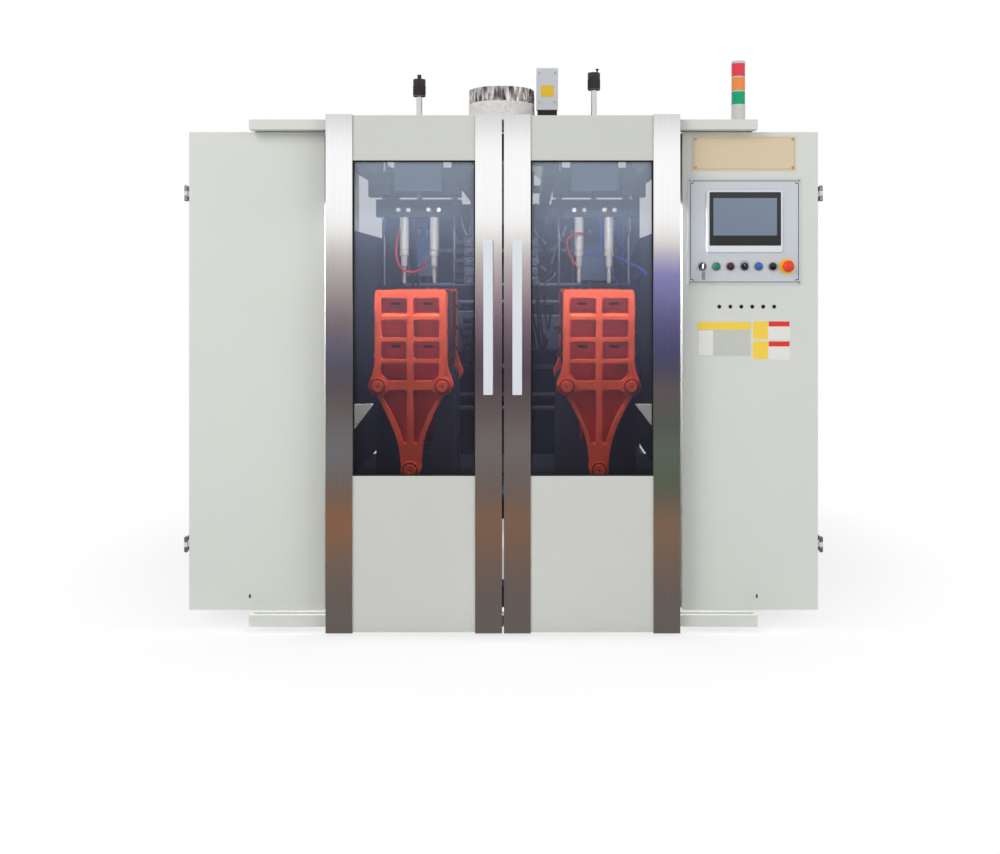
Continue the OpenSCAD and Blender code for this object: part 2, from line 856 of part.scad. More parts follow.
// The cells between the ribs, on one side of the centre line
module platen_cells() offset(r = cell_fillet, $fn = 24) offset(delta = -cell_fillet) {
    for (row = [0:3]) cell(row, row == 3 ? 24 : 1);
    difference() {
        intersection() {
            platen_half(-rib*0.8);
            translate([rib/2, taper_z0 + 48])
                square([platen_w, bar_high_z - taper_z0 - 60]);
        }
        translate([bar_span/2, bar_high_z]) circle(boss_r + 5);
    }
}

// A sloped ledge at the foot of the two top cells
module cell_ledges() {
    z0 = cell_top - cell_h;
    d0 = platen_front + 14;
    d1 = platen_front + platen_t - platen_web;
    for (side = [-1, 1]) {
        plate_dz(side*(rib + cell_w)/2 - cell_w/2 + 1, cell_w - 2)
            polygon([[d0, z0 - 1], [d0 + 6, z0 + 5], [d1 + 1, z0 + 22], [d1 + 1, z0 - 1]]);
    }
}

// Turned rings and a centre hole in the face of a closed boss
module boss_rings() {
    face = platen_front - boss_out;
    for (r = [0.44, 0.7]) difference() {
        rod_y(0, 0, [face - 1, face + ring_depth], r*boss_r + 1.2);
        rod_y(0, 0, [face - 2, face + ring_depth + 1], r*boss_r - 1.2);
    }
    rod_y(0, 0, [face - 1, face + 2*ring_depth], 3.5, $fn = 24);
}

// A platen with its ribs towards the front, centred on x = 0. A bore that starts
// behind the boss face leaves the boss closed.
module platen(bore, bore_d0) {
    web_d = platen_front + platen_t - platen_web;
    difference() {
        union() {
            plate_xz(platen_front, platen_t) platen_outline();
            tie_bar_places() rod_y(0, 0, [platen_front - boss_out, platen_front + 1],
                                   boss_r - 3);
        }
        difference() {
            for (side = [0, 1]) {
                plate_xz(platen_front - 1, web_d - platen_front + 1)
                    mirror([side, 0]) platen_cells();
            }
            cell_ledges();
        }
        for (side = [-1, 1], row = [0, 2]) plate_xz(web_d - 1, platen_web + 2)
            translate([side*(rib + cell_w)/2, cell_top - 22 - row*cell_pitch])
                slot_2d(slot_l, slot_w, $fn = 24);
        tie_bar_places() rod_y(0, 0, [bore_d0, mould_front + 1], bore);
        if (bore_d0 > platen_front) tie_bar_places() boss_rings();
    }
}

module tie_bar_places() {
    for (x = [-bar_span/2, bar_span/2]) translate([x, 0, bar_high_z]) children();
    translate([0, 0, bar_low_z]) children();
}

// Turns what faces the front round the parting plane
module behind_parting() {
    translate([0, 2*(front + parting_d), 0]) mirror([0, 1, 0]) children();
}

// Tie bars with their end nuts, the yoke that joins them and the clamp cylinder's barrel
module tie_bars() {
    back = yoke_d + yoke_t;
    tie_bar_places() {
        rod_y(0, 0, [platen_front + bar_seat, back], bar_dia/2);
        rod_y(0, 0, [back, back + bar_nut_h], bar_nut_r, $fn = 6);
        rod_y(0, 0, [back + bar_nut_h, back + bar_nut_h + 8], bar_nut_r - 8);
    }
    difference() {
        plate_xz(yoke_d, yoke_t) platen_yoke();
        rod_y(0, cylinder_z, [yoke_d - 1, back + 1], ram_r + bar_clear);
    }
    difference() {
        union() {
            rod_y(0, cylinder_z, [back, back + barrel_l], cylinder_r);
            for (d = [back, back + barrel_l - 24]) rod_y(0, cylinder_z, [d, d + 24],
                                                         cylinder_r + 10);
        }
        rod_y(0, cylinder_z, [yoke_d, back + barrel_l - 12], ram_r + bar_clear);
    }
}

module platen_yoke() {
    hull() {
        for (x = [-bar_span/2, bar_span/2]) translate([x, bar_high_z]) circle(boss_r, $fn = 32);
        translate([0, bar_low_z]) circle(boss_r, $fn = 32);
    }
}

module front_mould_half() {
    difference() {
        span([-mould_w/2, mould_w/2], [mould_front, mould_front + mould_t],
             [mould_z, mould_z + mould_h]);
        for (side = [-1, 1]) {
            translate([side*pin_pitch/2, front + mould_front + mould_t, mould_z + 30])
                rotate_extrude() bottle_half_profile();
        }
    }
}

// Half section of a bottle cavity with its neck
module bottle_half_profile() {
    neck_z = mould_h - 30;
    polygon([[0, 0], [cavity_r - 6, 0], [cavity_r, 6], [cavity_r, cavity_h],
             [neck_r, cavity_h + 40], [neck_r, neck_z + 1], [0, neck_z + 1]]);
}

module rear_platen_parts() {
    behind_parting() platen(bar_dia/2 + bar_clear, platen_front - boss_out - 1);
    rod_y(0, cylinder_z, [rear_face + platen_web, yoke_d + yoke_t + barrel_l - 20], ram_r);
}

module at_left() translate([-station_x, 0, 0]) children();
module at_right() translate([station_x, 0, 0]) children();

module front_platen() color(casting) platen(bar_dia/2, platen_front + bar_seat);
module left_front_platen() at_left() front_platen();
module right_front_platen() at_right() front_platen();
module left_tie_bars() color(steel) at_left() tie_bars();
module right_tie_bars() color(steel) at_right() tie_bars();
module left_front_mould() color(steel) at_left() front_mould_half();
module right_front_mould() color(steel) at_right() front_mould_half();
module left_rear_platen() color(casting) at_left() rear_platen_parts();
module right_rear_platen() color(casting) at_right() rear_platen_parts();
module left_rear_mould() color(steel) at_left() behind_parting() front_mould_half();
module right_rear_mould() color(steel) at_right() behind_parting() front_mould_half();

// Carriages

module carriage_rails() color(steel) {
    reach = station_x + carriage_w/2 + 15;
    for (d = lin_rail_ds) {
        span([-reach, reach], [d - lin_rail_w/2, d + lin_rail_w/2],
             [lin_rail_z, lin_rail_z + lin_rail_h]);
    }
    for (z = cross_rod_z) rod_x([-inner_x, inner_x], cross_rod_d, z, cross_rod_r);
}

// Carriage: base plate on four bearing blocks, with a guide block for each tie bar
module carriage() {
    web_z = carriage_z + carriage_t;
    gap_d = lin_rail_w/2 + bearing_clear;
    span([-carriage_w/2, carriage_w/2], [carriage_front, carriage_front + carriage_d],
         [carriage_z, web_z]);
    for (x = [-bearing_x, bearing_x], d = lin_rail_ds) difference() {
        span([x - bearing_w/2, x + bearing_w/2], [d - bearing_d/2, d + bearing_d/2],
             [lin_rail_z + 5, carriage_z]);
        span([x - bearing_w/2 - 1, x + bearing_w/2 + 1], [d - gap_d, d + gap_d],
             [lin_rail_z, lin_rail_z + lin_rail_h + bearing_clear]);
    }
    for (d = [carriage_front, carriage_front + carriage_d - guide_wall]) difference() {
        plate_xz(d, guide_wall) union() {
            for (side = [-1, 1]) {
                translate([side*bar_span/2, bar_high_z]) circle(guide_r);
                polygon([[side*carriage_w/2, web_z], [side*(bar_span/2 + guide_r), bar_high_z],
                         [side*(bar_span/2 - guide_r), bar_high_z],
                         [side*guide_inner_x, web_z]]);
            }
            translate([-low_guide_w/2, web_z])
                square([low_guide_w, bar_low_z + boss_r - web_z]);
            translate([-bar_span/2, bar_high_z - link_h]) square([bar_span, link_h]);
        }
        tie_bar_places() rod_y(0, 0, [d - 1, d + guide_wall + 1], bar_dia/2 + bar_clear);
    }
}

module left_carriage() color(dark) at_left() carriage();
module right_carriage() color(dark) at_right() carriage();

// Blow stations

module blow_brackets() color(dark) both_sides() at_right() {
    x0 = beam_x1 - station_x;
    x1 = column_pitch/2 + bush_w/2;
    side_x = inner_x - station_x;
    arm = [back_d0 + back_t, back_d0 + back_t + arm_d];
    span([x0, x1 + 4], [back_d0, back_d0 + back_t], [bush_z0, bush_z1 + 20]);
    for (x = [[x0, x0 + bush_w], [x1 - bush_w, x1]]) difference() {
        span(x, [back_d0 - head_d, back_d0], [bush_z0, bush_z1]);
        for (side = [-1, 1]) rod_z(side*column_pitch/2, parting_d, [bush_z0 - 1, bush_z1 + 1],
                                   column_dia/2 + blow_clear);
    }
    span([x0, side_x], arm, [bush_z0, bush_z1]);
    span([side_x, side_x + arm_t], arm, [bush_z0, cab_top - post]);
}

module blow_cylinders() color(blue_grey) both_sides() at_right() difference() {
    span([-cylinder_w/2, cylinder_w/2], [back_d0 - head_d - cylinder_out, back_d0],
         [cylinder_z0, cylinder_z1]);
    rod_z(0, parting_d, [cylinder_z0 - 1, cylinder_z1 + 1], stroke_rod/2 + blow_clear);
}

module blow_head(collar_z, top_stub) {
    beam_half = column_pitch/2 + 28;
    head_face = parting_d - head_d/2;
    collar_top = collar_z + collar_h;
    difference() {
        span([-beam_half, beam_half], [head_face, parting_d + head_d/2],
             [head_z, head_z + head_h]);
        for (side = [-1, 1]) rod_z(side*pin_pitch/2, parting_d, [head_z - 1, head_z + pin_seat],
                                   10);
    }
    for (side = [-1, 1]) {
        rod_z(side*column_pitch/2, parting_d, [head_z + head_h, column_top], column_dia/2);
        rod_z(side*column_pitch/2, parting_d, [rod_tip_z, head_z], tip_rod_r);
        for (x = [pin_pitch/2 - bolt_offset, pin_pitch/2 + bolt_offset]) {
            rod_y(side*x, head_z + 26, [head_face - 8, head_face], 9, $fn = 6);
        }
    }
    rod_z(0, parting_d, [head_z + head_h, collar_top], stroke_rod/2);
    rod_z(0, parting_d, [collar_z, collar_top], collar_dia/2);
    if (top_stub) rod_z(0, parting_d, [collar_top, collar_top + stub_h], stub_dia/2);
}

// Two blow pins, each turned from one bar
module blow_pins() for (side = [-1, 1])
    translate([side*pin_pitch/2, front + parting_d, 0]) rotate_extrude() polygon([
        [0, 1172], [5, 1172], [7, 1176], [7, 1233], [12, 1238], [12, 1276], [18, 1276],
        [18, 1292], [13, 1298], [17.5, 1303], [17.5, head_z], [10, head_z],
        [10, head_z + pin_seat], [0, head_z + pin_seat]]);

module left_blow_head() color(dark) at_left() blow_head(left_collar_z, true);
module right_blow_head() color(dark) at_right() blow_head(right_collar_z, false);
module left_blow_pins() color(steel) at_left() blow_pins();
module right_blow_pins() color(steel) at_right() blow_pins();

// Die head and extruder

module die_head() color([0.4, 0.4, 0.42]) {
    difference() {
        span([-beam_x1, beam_x1], [die_d - 120, die_d + 120], [beam_z1, beam_z1 + head_plate_t]);
        rod_z(die_x, die_d, [beam_z1 - 1, beam_z1 + head_plate_t + 1], die_r);
    }
    rod_z(die_x, die_d, [die_z0, die_top], die_r);
    span([die_x - die_r, die_x + die_r], [die_d - 100, die_d + 60], [manifold_z0, die_z0]);
    for (x = [die_x - pin_pitch/2, die_x + pin_pitch/2]) {
        rod_z(x, parting_d, [nozzle_z0, manifold_z0], nozzle_r);
        translate([x, front + parting_d, lip_z])
            cylinder(h = nozzle_z0 - lip_z, r1 = lip_r, r2 = nozzle_r - 4);
    }
}

module die_head_wrap() color([0.8, 0.8, 0.8]) difference() {
    union() {
        rod_z(die_x, die_d, [foil_z, wrap_top], wrap_r);
        rod_z(die_x, die_d, [beam_z1 + head_plate_t, foil_z], wrap_r - cloth_inset);
    }
    rod_z(die_x, die_d, [beam_z1, wrap_top + 1], die_r);
    rod_y(die_x, screw_z, [die_d, die_d + 2*wrap_r], barrel_r + 1);
}

module terminal_box() color([0.55, 0.57, 0.6]) {
    lid_x = [box_x[0] + lid_inset/2, box_x[1] - lid_inset/2];
    lid_z = [box_z[0] + lid_inset, box_z[1] - lid_inset];
    span(box_x, box_d, box_z);
    span(lid_x, [box_d[0] - lid_out, box_d[0]], lid_z);
    span([box_x[0] + box_foot_inset, box_x[1] - box_foot_inset],
         [box_d[0] + box_foot_inset, box_d[1] - box_foot_inset], box_foot_z);
    span(arm_x, [box_d[0] + 30, box_d[0] + 70], [beam_z1 + head_plate_t, box_foot_z[0]]);
}

// Extruder barrel, shaped to the die head's body, with its flange on the gearbox
module extruder_barrel() color(steel) {
    difference() {
        rod_y(die_x, screw_z, [die_d + 80, gearbox_d], barrel_r);
        rod_z(die_x, die_d, [screw_z - 90, screw_z + 90], die_r);
    }
    rod_y(die_x, screw_z, [gearbox_d - 30, gearbox_d], band_r + 20);
}

module heater_bands() color([0.75, 0.72, 0.62])
    for (k = [0:6]) difference() {
        d = die_d + 160 + k*(band_l + band_gap);
        rod_y(die_x, screw_z, [d, d + band_l], band_r);
        rod_y(die_x, screw_z, [d - 1, d + band_l + 1], barrel_r);
    }

module hopper() color(steel) {
    inner_throat = throat_r - hopper_wall;
    inner_r = hopper_r - hopper_wall;
    cone_h = cone_z[1] - cone_z[0];
    difference() {
        union() {
            rod_z(die_x, hopper_d, [screw_z, cone_z[0]], throat_r);
            translate([die_x, front + hopper_d, cone_z[0]])
                cylinder(h = cone_h, r1 = throat_r, r2 = hopper_r);
            rod_z(die_x, hopper_d, [cone_z[1], hopper_top], hopper_r);
        }
        translate([die_x, front + hopper_d, cone_z[0]])
            cylinder(h = cone_h, r1 = inner_throat, r2 = inner_r);
        rod_z(die_x, hopper_d, [cone_z[1], hopper_top + 1], inner_r);
        rod_z(die_x, hopper_d, [screw_z - 1, cone_z[0]], inner_throat);
        rod_y(die_x, screw_z, [hopper_d - 100, hopper_d + 100], barrel_r);
    }
}

module gearbox() color(blue_grey) {
    foot_z = [beam_z1, beam_z1 + gearbox_foot_t];
    span([die_x - gearbox_w/2, die_x + gearbox_w/2], [gearbox_d, motor_d],
         [foot_z[1], gearbox_top]);
    span([-beam_x1, beam_x1], [gearbox_d, motor_d], foot_z);
}

module extruder_motor() color(blue_grey) {
    rod_y(die_x, motor_z, [motor_d, motor_d + 20], motor_flange_r);
    rod_y(die_x, motor_z, [motor_d + 20, rear_d - 40], motor_r);
    rod_y(die_x, motor_z, [rear_d - 40, rear_d - 15], fan_cover_r);
    span([die_x - 70, die_x + 70], [motor_d + 80, motor_d + 220],
         [motor_z + motor_r - 20, motor_z + motor_r + 30]);
}

module power_pack() color(blue_grey) {
    tank_d = [post_mid + post + tank_margin, rear_d - post - tank_margin];
    span([-tank_w/2, tank_w/2], tank_d, tank_z);
    for (x = [-leg_x - leg_w, leg_x]) {
        span([x, x + leg_w], [bulkhead_d + sheet, rear_d], [frame_top, tank_z[0]]);
    }
}

// Pump motor on two feet, with its bell housing and pump
module pump_motor() color([0.3, 0.45, 0.6]) {
    base_z = tank_z[1] + pump_plate_t;
    span(pump_x, [pump_d - 150, pump_d + 150], [tank_z[1], base_z]);
    rod_x([pump_x[0] + 20, pump_x[1] - 140], pump_d, pump_z, motor_r);
    rod_x([pump_x[1] - 140, pump_x[1] - 110], pump_d, pump_z, motor_r + 10);
    rod_x([pump_x[1] - 110, pump_x[1]], pump_d, pump_z, 80);
    for (x = [pump_x[0] + 50, pump_x[1] - 200]) {
        span([x, x + pump_foot_t], [pump_d - pump_foot_d, pump_d + pump_foot_d],
             [base_z, pump_z - pump_foot_t]);
    }
}

// Stack light

module stack_light_body() color([0.5, 0.52, 0.55]) {
    socket_z = lens_z0 - light_socket_h;
    top = lens_z0 + 2*lens_pitch + lens_h;
    rod_z(light_x, light_d, [cab_top, cab_top + light_foot_h], light_dia/2 + 8);
    rod_z(light_x, light_d, [cab_top + light_foot_h, socket_z], light_stem_r);
    rod_z(light_x, light_d, [socket_z, lens_z0], light_dia/2);
    for (k = [1, 2]) {
        rod_z(light_x, light_d, [lens_z0 + k*lens_pitch - (lens_pitch - lens_h),
                                 lens_z0 + k*lens_pitch], light_dia/2 - 1);
    }
    rod_z(light_x, light_d, [top, top + light_cap_h], light_dia/2);
}

module stack_light_lenses() color([0.9, 0.3, 0.2]) for (k = [0:2])
    rod_z(light_x, light_d, [lens_z0 + k*lens_pitch, lens_z0 + k*lens_pitch + lens_h],
          light_dia/2);

base_frame();
levelling_feet();
upper_frame();
left_cabinet();
right_cabinet();
top_rail();
bottom_rail();
hinge_pins();
carriage_rails();
blow_brackets();
blow_cylinders();
die_head();
die_head_wrap();
terminal_box();
extruder_barrel();
heater_bands();
hopper();
gearbox();
extruder_motor();
power_pack();
pump_motor();
stack_light_body();
stack_light_lenses();
left_door_panel();
left_door_window();
left_door_strips();
left_door_handle();
left_door_glides();
right_door_panel();
right_door_window();
right_door_strips();
right_door_handle();
right_door_glides();
left_side_door();
control_door();
control_plate();
operator_panel();
button_bezels();
key_switch();
green_button();
selector_switch();
blue_button();
black_button();
estop_button();
left_carriage();
left_front_platen();
left_tie_bars();
left_front_mould();
left_rear_platen();
left_rear_mould();
left_blow_head();
left_blow_pins();
right_carriage();
right_front_platen();
right_tie_bars();
right_front_mould();
right_rear_platen();
right_rear_mould();
right_blow_head();
right_blow_pins();
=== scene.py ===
# %% [markdown]
# # A double station blow moulding machine, dressed for the camera
# The construction comes from CAD as a fixed frame: every sheet, rod and casting is already at its
# real size. Blender adds what a camera sees and a drawing leaves out: rounded folds, brushed steel,
# painted castings, foil, glass, screws and hoses. Nothing here moves or resizes a CAD part.

# %% Load the frame
import json
import math
import random

import bmesh
import bpy
from mathutils import Matrix, Vector, noise


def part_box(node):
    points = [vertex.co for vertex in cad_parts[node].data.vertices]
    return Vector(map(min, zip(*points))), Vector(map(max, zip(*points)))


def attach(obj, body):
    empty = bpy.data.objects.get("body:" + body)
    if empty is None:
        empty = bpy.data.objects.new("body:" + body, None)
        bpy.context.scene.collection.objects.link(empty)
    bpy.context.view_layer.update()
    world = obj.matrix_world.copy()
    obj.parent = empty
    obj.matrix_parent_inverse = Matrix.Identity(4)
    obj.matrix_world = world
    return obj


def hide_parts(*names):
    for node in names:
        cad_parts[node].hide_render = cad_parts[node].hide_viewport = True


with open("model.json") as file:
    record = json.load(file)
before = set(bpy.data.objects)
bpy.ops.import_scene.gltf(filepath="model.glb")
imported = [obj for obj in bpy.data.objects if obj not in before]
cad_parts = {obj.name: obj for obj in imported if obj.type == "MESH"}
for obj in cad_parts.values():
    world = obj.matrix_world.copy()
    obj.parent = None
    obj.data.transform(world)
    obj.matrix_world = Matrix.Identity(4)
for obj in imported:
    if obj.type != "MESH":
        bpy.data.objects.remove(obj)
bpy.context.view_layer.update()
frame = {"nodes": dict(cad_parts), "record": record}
cad = frame["nodes"]
SIDES = ("left", "right")


def box_centre(node):
    """The middle of a CAD node's box, as X, Y and Z."""
    low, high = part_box(node)
    return [(a + b) / 2 for a, b in zip(low, high)]


# %% [markdown]
# ## The camera
# The photograph was taken square to the doors from about eye height of a seated person. The
# verticals stay upright in it, so the camera looks level and a lens shift frames the machine.

# %% Place the camera
FACE_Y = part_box("left_door_strips")[0].y
CAMERA_DISTANCE = 3.6
CAMERA_X = 0.09
CAMERA_Z = 1.184
FOCAL_PIXELS = 1084
SENSOR_MM = 36

camera_data = bpy.data.cameras.new("camera")
camera_data.sensor_width = SENSOR_MM
camera_data.lens = FOCAL_PIXELS / 1000 * SENSOR_MM
camera_data.shift_x = -0.030
camera_data.shift_y = -0.147
camera = bpy.data.objects.new("camera", camera_data)
camera.location = (CAMERA_X, FACE_Y - CAMERA_DISTANCE, CAMERA_Z)
camera.rotation_euler = (math.radians(90), 0, 0)
bpy.context.scene.collection.objects.link(camera)
bpy.context.scene.camera = camera

# %% [markdown]
# ## Materials
# Each finish is a short function that wires a few texture nodes into one Principled shader. The
# patterns read Object coordinates: a CAD mesh keeps its place in its vertices, so one metre of
# pattern is one metre of machine, and neighbouring sheets don't show the same blotches.

# %% Helpers for node materials
def start_material(name):
    """A new material with its node tree, its Principled shader and an Object coordinate."""
    material = bpy.data.materials.new(name)
    material.use_nodes = True
    tree = material.node_tree
    shader = tree.nodes["Principled BSDF"]
    place = tree.nodes.new("ShaderNodeTexCoord")
    return material, tree, shader, place.outputs["Object"]


def stretched(tree, vector, scale):
    """The coordinate stretched by a Mapping node, to draw grain along one direction."""
    mapping = tree.nodes.new("ShaderNodeMapping")
    mapping.inputs["Scale"].default_value = scale
    tree.links.new(vector, mapping.inputs["Vector"])
    return mapping.outputs["Vector"]


def noise_texture(tree, vector, scale, detail=4, roughness=0.5):
    """A noise texture's factor."""
    texture = tree.nodes.new("ShaderNodeTexNoise")
    texture.inputs["Scale"].default_value = scale
    texture.inputs["Detail"].default_value = detail
    texture.inputs["Roughness"].default_value = roughness
    tree.links.new(vector, texture.inputs["Vector"])
    return texture.outputs["Fac"]


def ramp(tree, factor, stops):
    """A colour ramp from (position, colour) stops."""
    node = tree.nodes.new("ShaderNodeValToRGB")
    elements = node.color_ramp.elements
    while len(elements) < len(stops):
        elements.new(0.5)
    for element, (position, colour) in zip(elements, stops):
        element.position = position
        element.color = (*colour, 1)
    tree.links.new(factor, node.inputs["Fac"])
    return node.outputs["Color"]


def remap(tree, value, source=(0, 1), target=(0, 1)):
    """A value moved from one range to another."""
    node = tree.nodes.new("ShaderNodeMapRange")
    for label, (low, high) in (("From", source), ("To", target)):
        node.inputs[f"{label} Min"].default_value = low
        node.inputs[f"{label} Max"].default_value = high
    tree.links.new(value, node.inputs["Value"])
    return node.outputs["Result"]


def spread(tree, factor, low, high):
    """A factor remapped to a range, for roughness."""
    return remap(tree, factor, target=(low, high))


def height_factor(tree, vector, low, high):
    """A vector's Z, from 0 at the low value to 1 at the high one."""
    split = tree.nodes.new("ShaderNodeSeparateXYZ")
    tree.links.new(vector, split.inputs["Vector"])
    return remap(tree, split.outputs["Z"], source=(low, high))


def mix_colours(tree, factor, first, second, blend="MIX"):
    """Two colours mixed. Each input is a fixed value or another node's output."""
    node = tree.nodes.new("ShaderNodeMix")
    node.data_type = "RGBA"
    node.blend_type = blend
    for label, value in (("Factor", factor), ("A", first), ("B", second)):
        if isinstance(value, bpy.types.NodeSocket):
            tree.links.new(value, node.inputs[label])
        else:
            node.inputs[label].default_value = value
    return node.outputs["Result"]


def add_bump(tree, shader, height, strength, distance):
    """Bump from a height factor."""
    node = tree.nodes.new("ShaderNodeBump")
    node.inputs["Strength"].default_value = strength
    node.inputs["Distance"].default_value = distance
    tree.links.new(height, node.inputs["Height"])
    tree.links.new(node.outputs["Normal"], shader.inputs["Normal"])


def linear(*srgb):
    """A colour written as 0-255 screen values, as the shader wants it."""
    return tuple(((c / 255 + 0.055) / 1.055) ** 2.4 if c > 10 else c / 255 / 12.92 for c in srgb)


def shade(colour, factor):
    return tuple(min(1, c * factor) for c in colour)


# %% [markdown]
# ## Paint and metal
# The cabinets are powder coated: a faint orange-peel skin over folded sheet. The strips on the
# doors are brushed stainless steel, with long vertical grain. The castings are sprayed orange over
# a sand-cast skin, so their bump is coarse and their colour blotchy.

# %% Paint, brushed steel and castings
def painted(name, colour, rough=0.42, peel=420, bump=0.06, blotch=0.03):
    material, tree, shader, place = start_material(name)
    cloud = noise_texture(tree, place, 1.3, 3)
    colours = [(0.3, shade(colour, 1 - blotch)), (0.7, shade(colour, 1 + blotch / 2))]
    tree.links.new(ramp(tree, cloud, colours), shader.inputs["Base Color"])
    skin = noise_texture(tree, place, peel, 2)
    tree.links.new(spread(tree, skin, rough - 0.05, rough + 0.06), shader.inputs["Roughness"])
    add_bump(tree, shader, skin, bump, 0.0006)
    return material


def brushed(name, colour, grain, rough=0.3, contrast=0.12, metallic=1.0):
    """Brushed metal, with its grain along the axis whose scale is small."""
    material, tree, shader, place = start_material(name)
    shader.inputs["Metallic"].default_value = metallic
    lines = noise_texture(tree, stretched(tree, place, grain), 1.0, 5, 0.6)
    colours = [(0.3, shade(colour, 1 - contrast)), (0.7, shade(colour, 1 + contrast / 2))]
    tree.links.new(ramp(tree, lines, colours), shader.inputs["Base Color"])
    tree.links.new(spread(tree, lines, rough - 0.06, rough + 0.1), shader.inputs["Roughness"])
    add_bump(tree, shader, lines, 0.12, 0.0004)
    return material


def cast_paint(name, colour, rough=0.5):
    material, tree, shader, place = start_material(name)
    cloud = noise_texture(tree, place, 7, 5, 0.6)
    colours = [(0.28, shade(colour, 0.72)), (0.5, colour), (0.75, shade(colour, 1.12))]
    tree.links.new(ramp(tree, cloud, colours), shader.inputs["Base Color"])
    sand = noise_texture(tree, place, 260, 4, 0.7)
    tree.links.new(spread(tree, sand, rough - 0.12, rough + 0.12), shader.inputs["Roughness"])
    add_bump(tree, shader, sand, 0.5, 0.0012)
    return material


def plain(name, colour, rough=0.35, metallic=0.0, grain=300, bump=0.05):
    """Moulded plastic or turned metal with a light even skin."""
    material, tree, shader, place = start_material(name)
    shader.inputs["Metallic"].default_value = metallic
    skin = noise_texture(tree, place, grain, 3)
    colours = [(0.25, shade(colour, 0.94)), (0.75, shade(colour, 1.05))]
    tree.links.new(ramp(tree, skin, colours), shader.inputs["Base Color"])
    tree.links.new(spread(tree, skin, rough * 0.85, rough * 1.2), shader.inputs["Roughness"])
    add_bump(tree, shader, skin, bump, 0.0004)
    return material


def strip_metal(name, reflection_tints):
    """Polished strip steel: fine vertical grain, and a painted reflection of the hall, a slow tint
    that changes with the height.
    """
    material, tree, shader, place = start_material(name)
    shader.inputs["Metallic"].default_value = 1.0
    lines = noise_texture(tree, stretched(tree, place, VERTICAL_GRAIN), 1.0, 5, 0.6)
    grain = ramp(tree, lines, [(0.3, (0.9, 0.9, 0.9)), (0.7, (1.0, 1.0, 1.0))])
    # Painted reflection: the hall's colours by height, multiplied into the steel's colour.
    stops = [(z / STRIP_TOP, linear(*colour)) for z, colour in reflection_tints]
    tinted = ramp(tree, height_factor(tree, place, 0.0, STRIP_TOP), stops)
    colour = mix_colours(tree, 1.0, tinted, grain, "MULTIPLY")
    tree.links.new(colour, shader.inputs["Base Color"])
    tree.links.new(spread(tree, lines, 0.05, 0.12), shader.inputs["Roughness"])
    add_bump(tree, shader, lines, 0.10, 0.0004)
    return material


VERTICAL_GRAIN = (900, 900, 2.5)
LEVEL_GRAIN = (2.5, 900, 900)
cabinet_paint = painted("cabinet_paint", linear(214, 216, 209))
frame_paint = painted("frame_paint", linear(50, 54, 68), 0.5)
blue_grey_paint = painted("blue_grey_paint", linear(84, 98, 118), 0.45)
casting_orange = cast_paint("casting_orange", linear(222, 84, 40))
stainless = brushed("stainless", linear(190, 190, 190), VERTICAL_GRAIN)
STRIP_TOP = 1.735
NEUTRAL = (228, 227, 227)
# Each list paints the hall's reflection into a set of strips: colours at heights in metres.
inner_strips = strip_metal("inner_strips", [(0.0, NEUTRAL), (0.82, (222, 210, 214)),
                                            (1.1, (228, 216, 224)), (1.3, NEUTRAL)])
left_strip = strip_metal("left_strip", [(0.25, NEUTRAL), (0.40, (246, 218, 206)),
                                        (0.60, (220, 222, 232)), (0.80, NEUTRAL),
                                        (0.94, (222, 236, 255)), (1.04, NEUTRAL)])
right_strip = strip_metal("right_strip", [(0.36, NEUTRAL), (0.52, (186, 208, 192)),
                                          (0.70, (184, 202, 190)), (0.82, NEUTRAL),
                                          (0.94, (182, 196, 252)), (1.20, (176, 180, 245)),
                                          (1.30, NEUTRAL)])
machined = brushed("machined_steel", linear(176, 176, 178), LEVEL_GRAIN, 0.34)
chrome = plain("chrome_rod", linear(215, 216, 220), 0.12, 1.0)
handle_metal = brushed("handle_metal", linear(228, 234, 239), VERTICAL_GRAIN, 0.4, 0.03, 0.15)

# %% [markdown]
# ## Glass, foil and plastics
# The windows are tinted sheet. Alpha keeps their colour thin, so the castings behind still glow
# through, and they get paler toward the top, where the real ones mirror light. The foil's pleats
# are a noise stretched along its height, which also paints dark and bright streaks into its colour
# as painted shade and painted reflection. The cloth's creases are a Voronoi texture. Both lie on a
# wrinkled mesh.

# %% Tinted pane, foil, cloth, brass and plastics
PANE_FOOT_Z, PANE_TOP_Z = 0.53, 1.58


def tinted_glass(name, stops):
    """A pane that covers part of what is behind it, and more so high up, where it mirrors light."""
    material, tree, shader, place = start_material(name)
    veil = height_factor(tree, place, PANE_FOOT_Z, PANE_TOP_Z)
    tree.links.new(ramp(tree, veil, [(at, linear(*colour)) for at, colour, _ in stops]),
                   shader.inputs["Base Color"])
    tree.links.new(ramp(tree, veil, [(at, (cover,) * 3) for at, _, cover in stops]),
                   shader.inputs["Alpha"])
    smear = noise_texture(tree, place, 6, 4)
    tree.links.new(spread(tree, smear, 0.04, 0.12), shader.inputs["Roughness"])
    return material


def crumpled(name, colour, metallic, rough, scale, bump):
    material, tree, shader, place = start_material(name)
    shader.inputs["Metallic"].default_value = metallic
    crease = tree.nodes.new("ShaderNodeTexVoronoi")
    crease.feature = "DISTANCE_TO_EDGE"
    crease.inputs["Scale"].default_value = scale
    tree.links.new(place, crease.inputs["Vector"])
    cloud = noise_texture(tree, place, scale * 0.7, 5)
    colours = [(0.2, shade(colour, 0.8)), (0.8, shade(colour, 1.08))]
    tree.links.new(ramp(tree, cloud, colours), shader.inputs["Base Color"])
    tree.links.new(spread(tree, cloud, rough * 0.7, rough * 1.3), shader.inputs["Roughness"])
    add_bump(tree, shader, crease.outputs["Distance"], bump, 0.006)
    return material


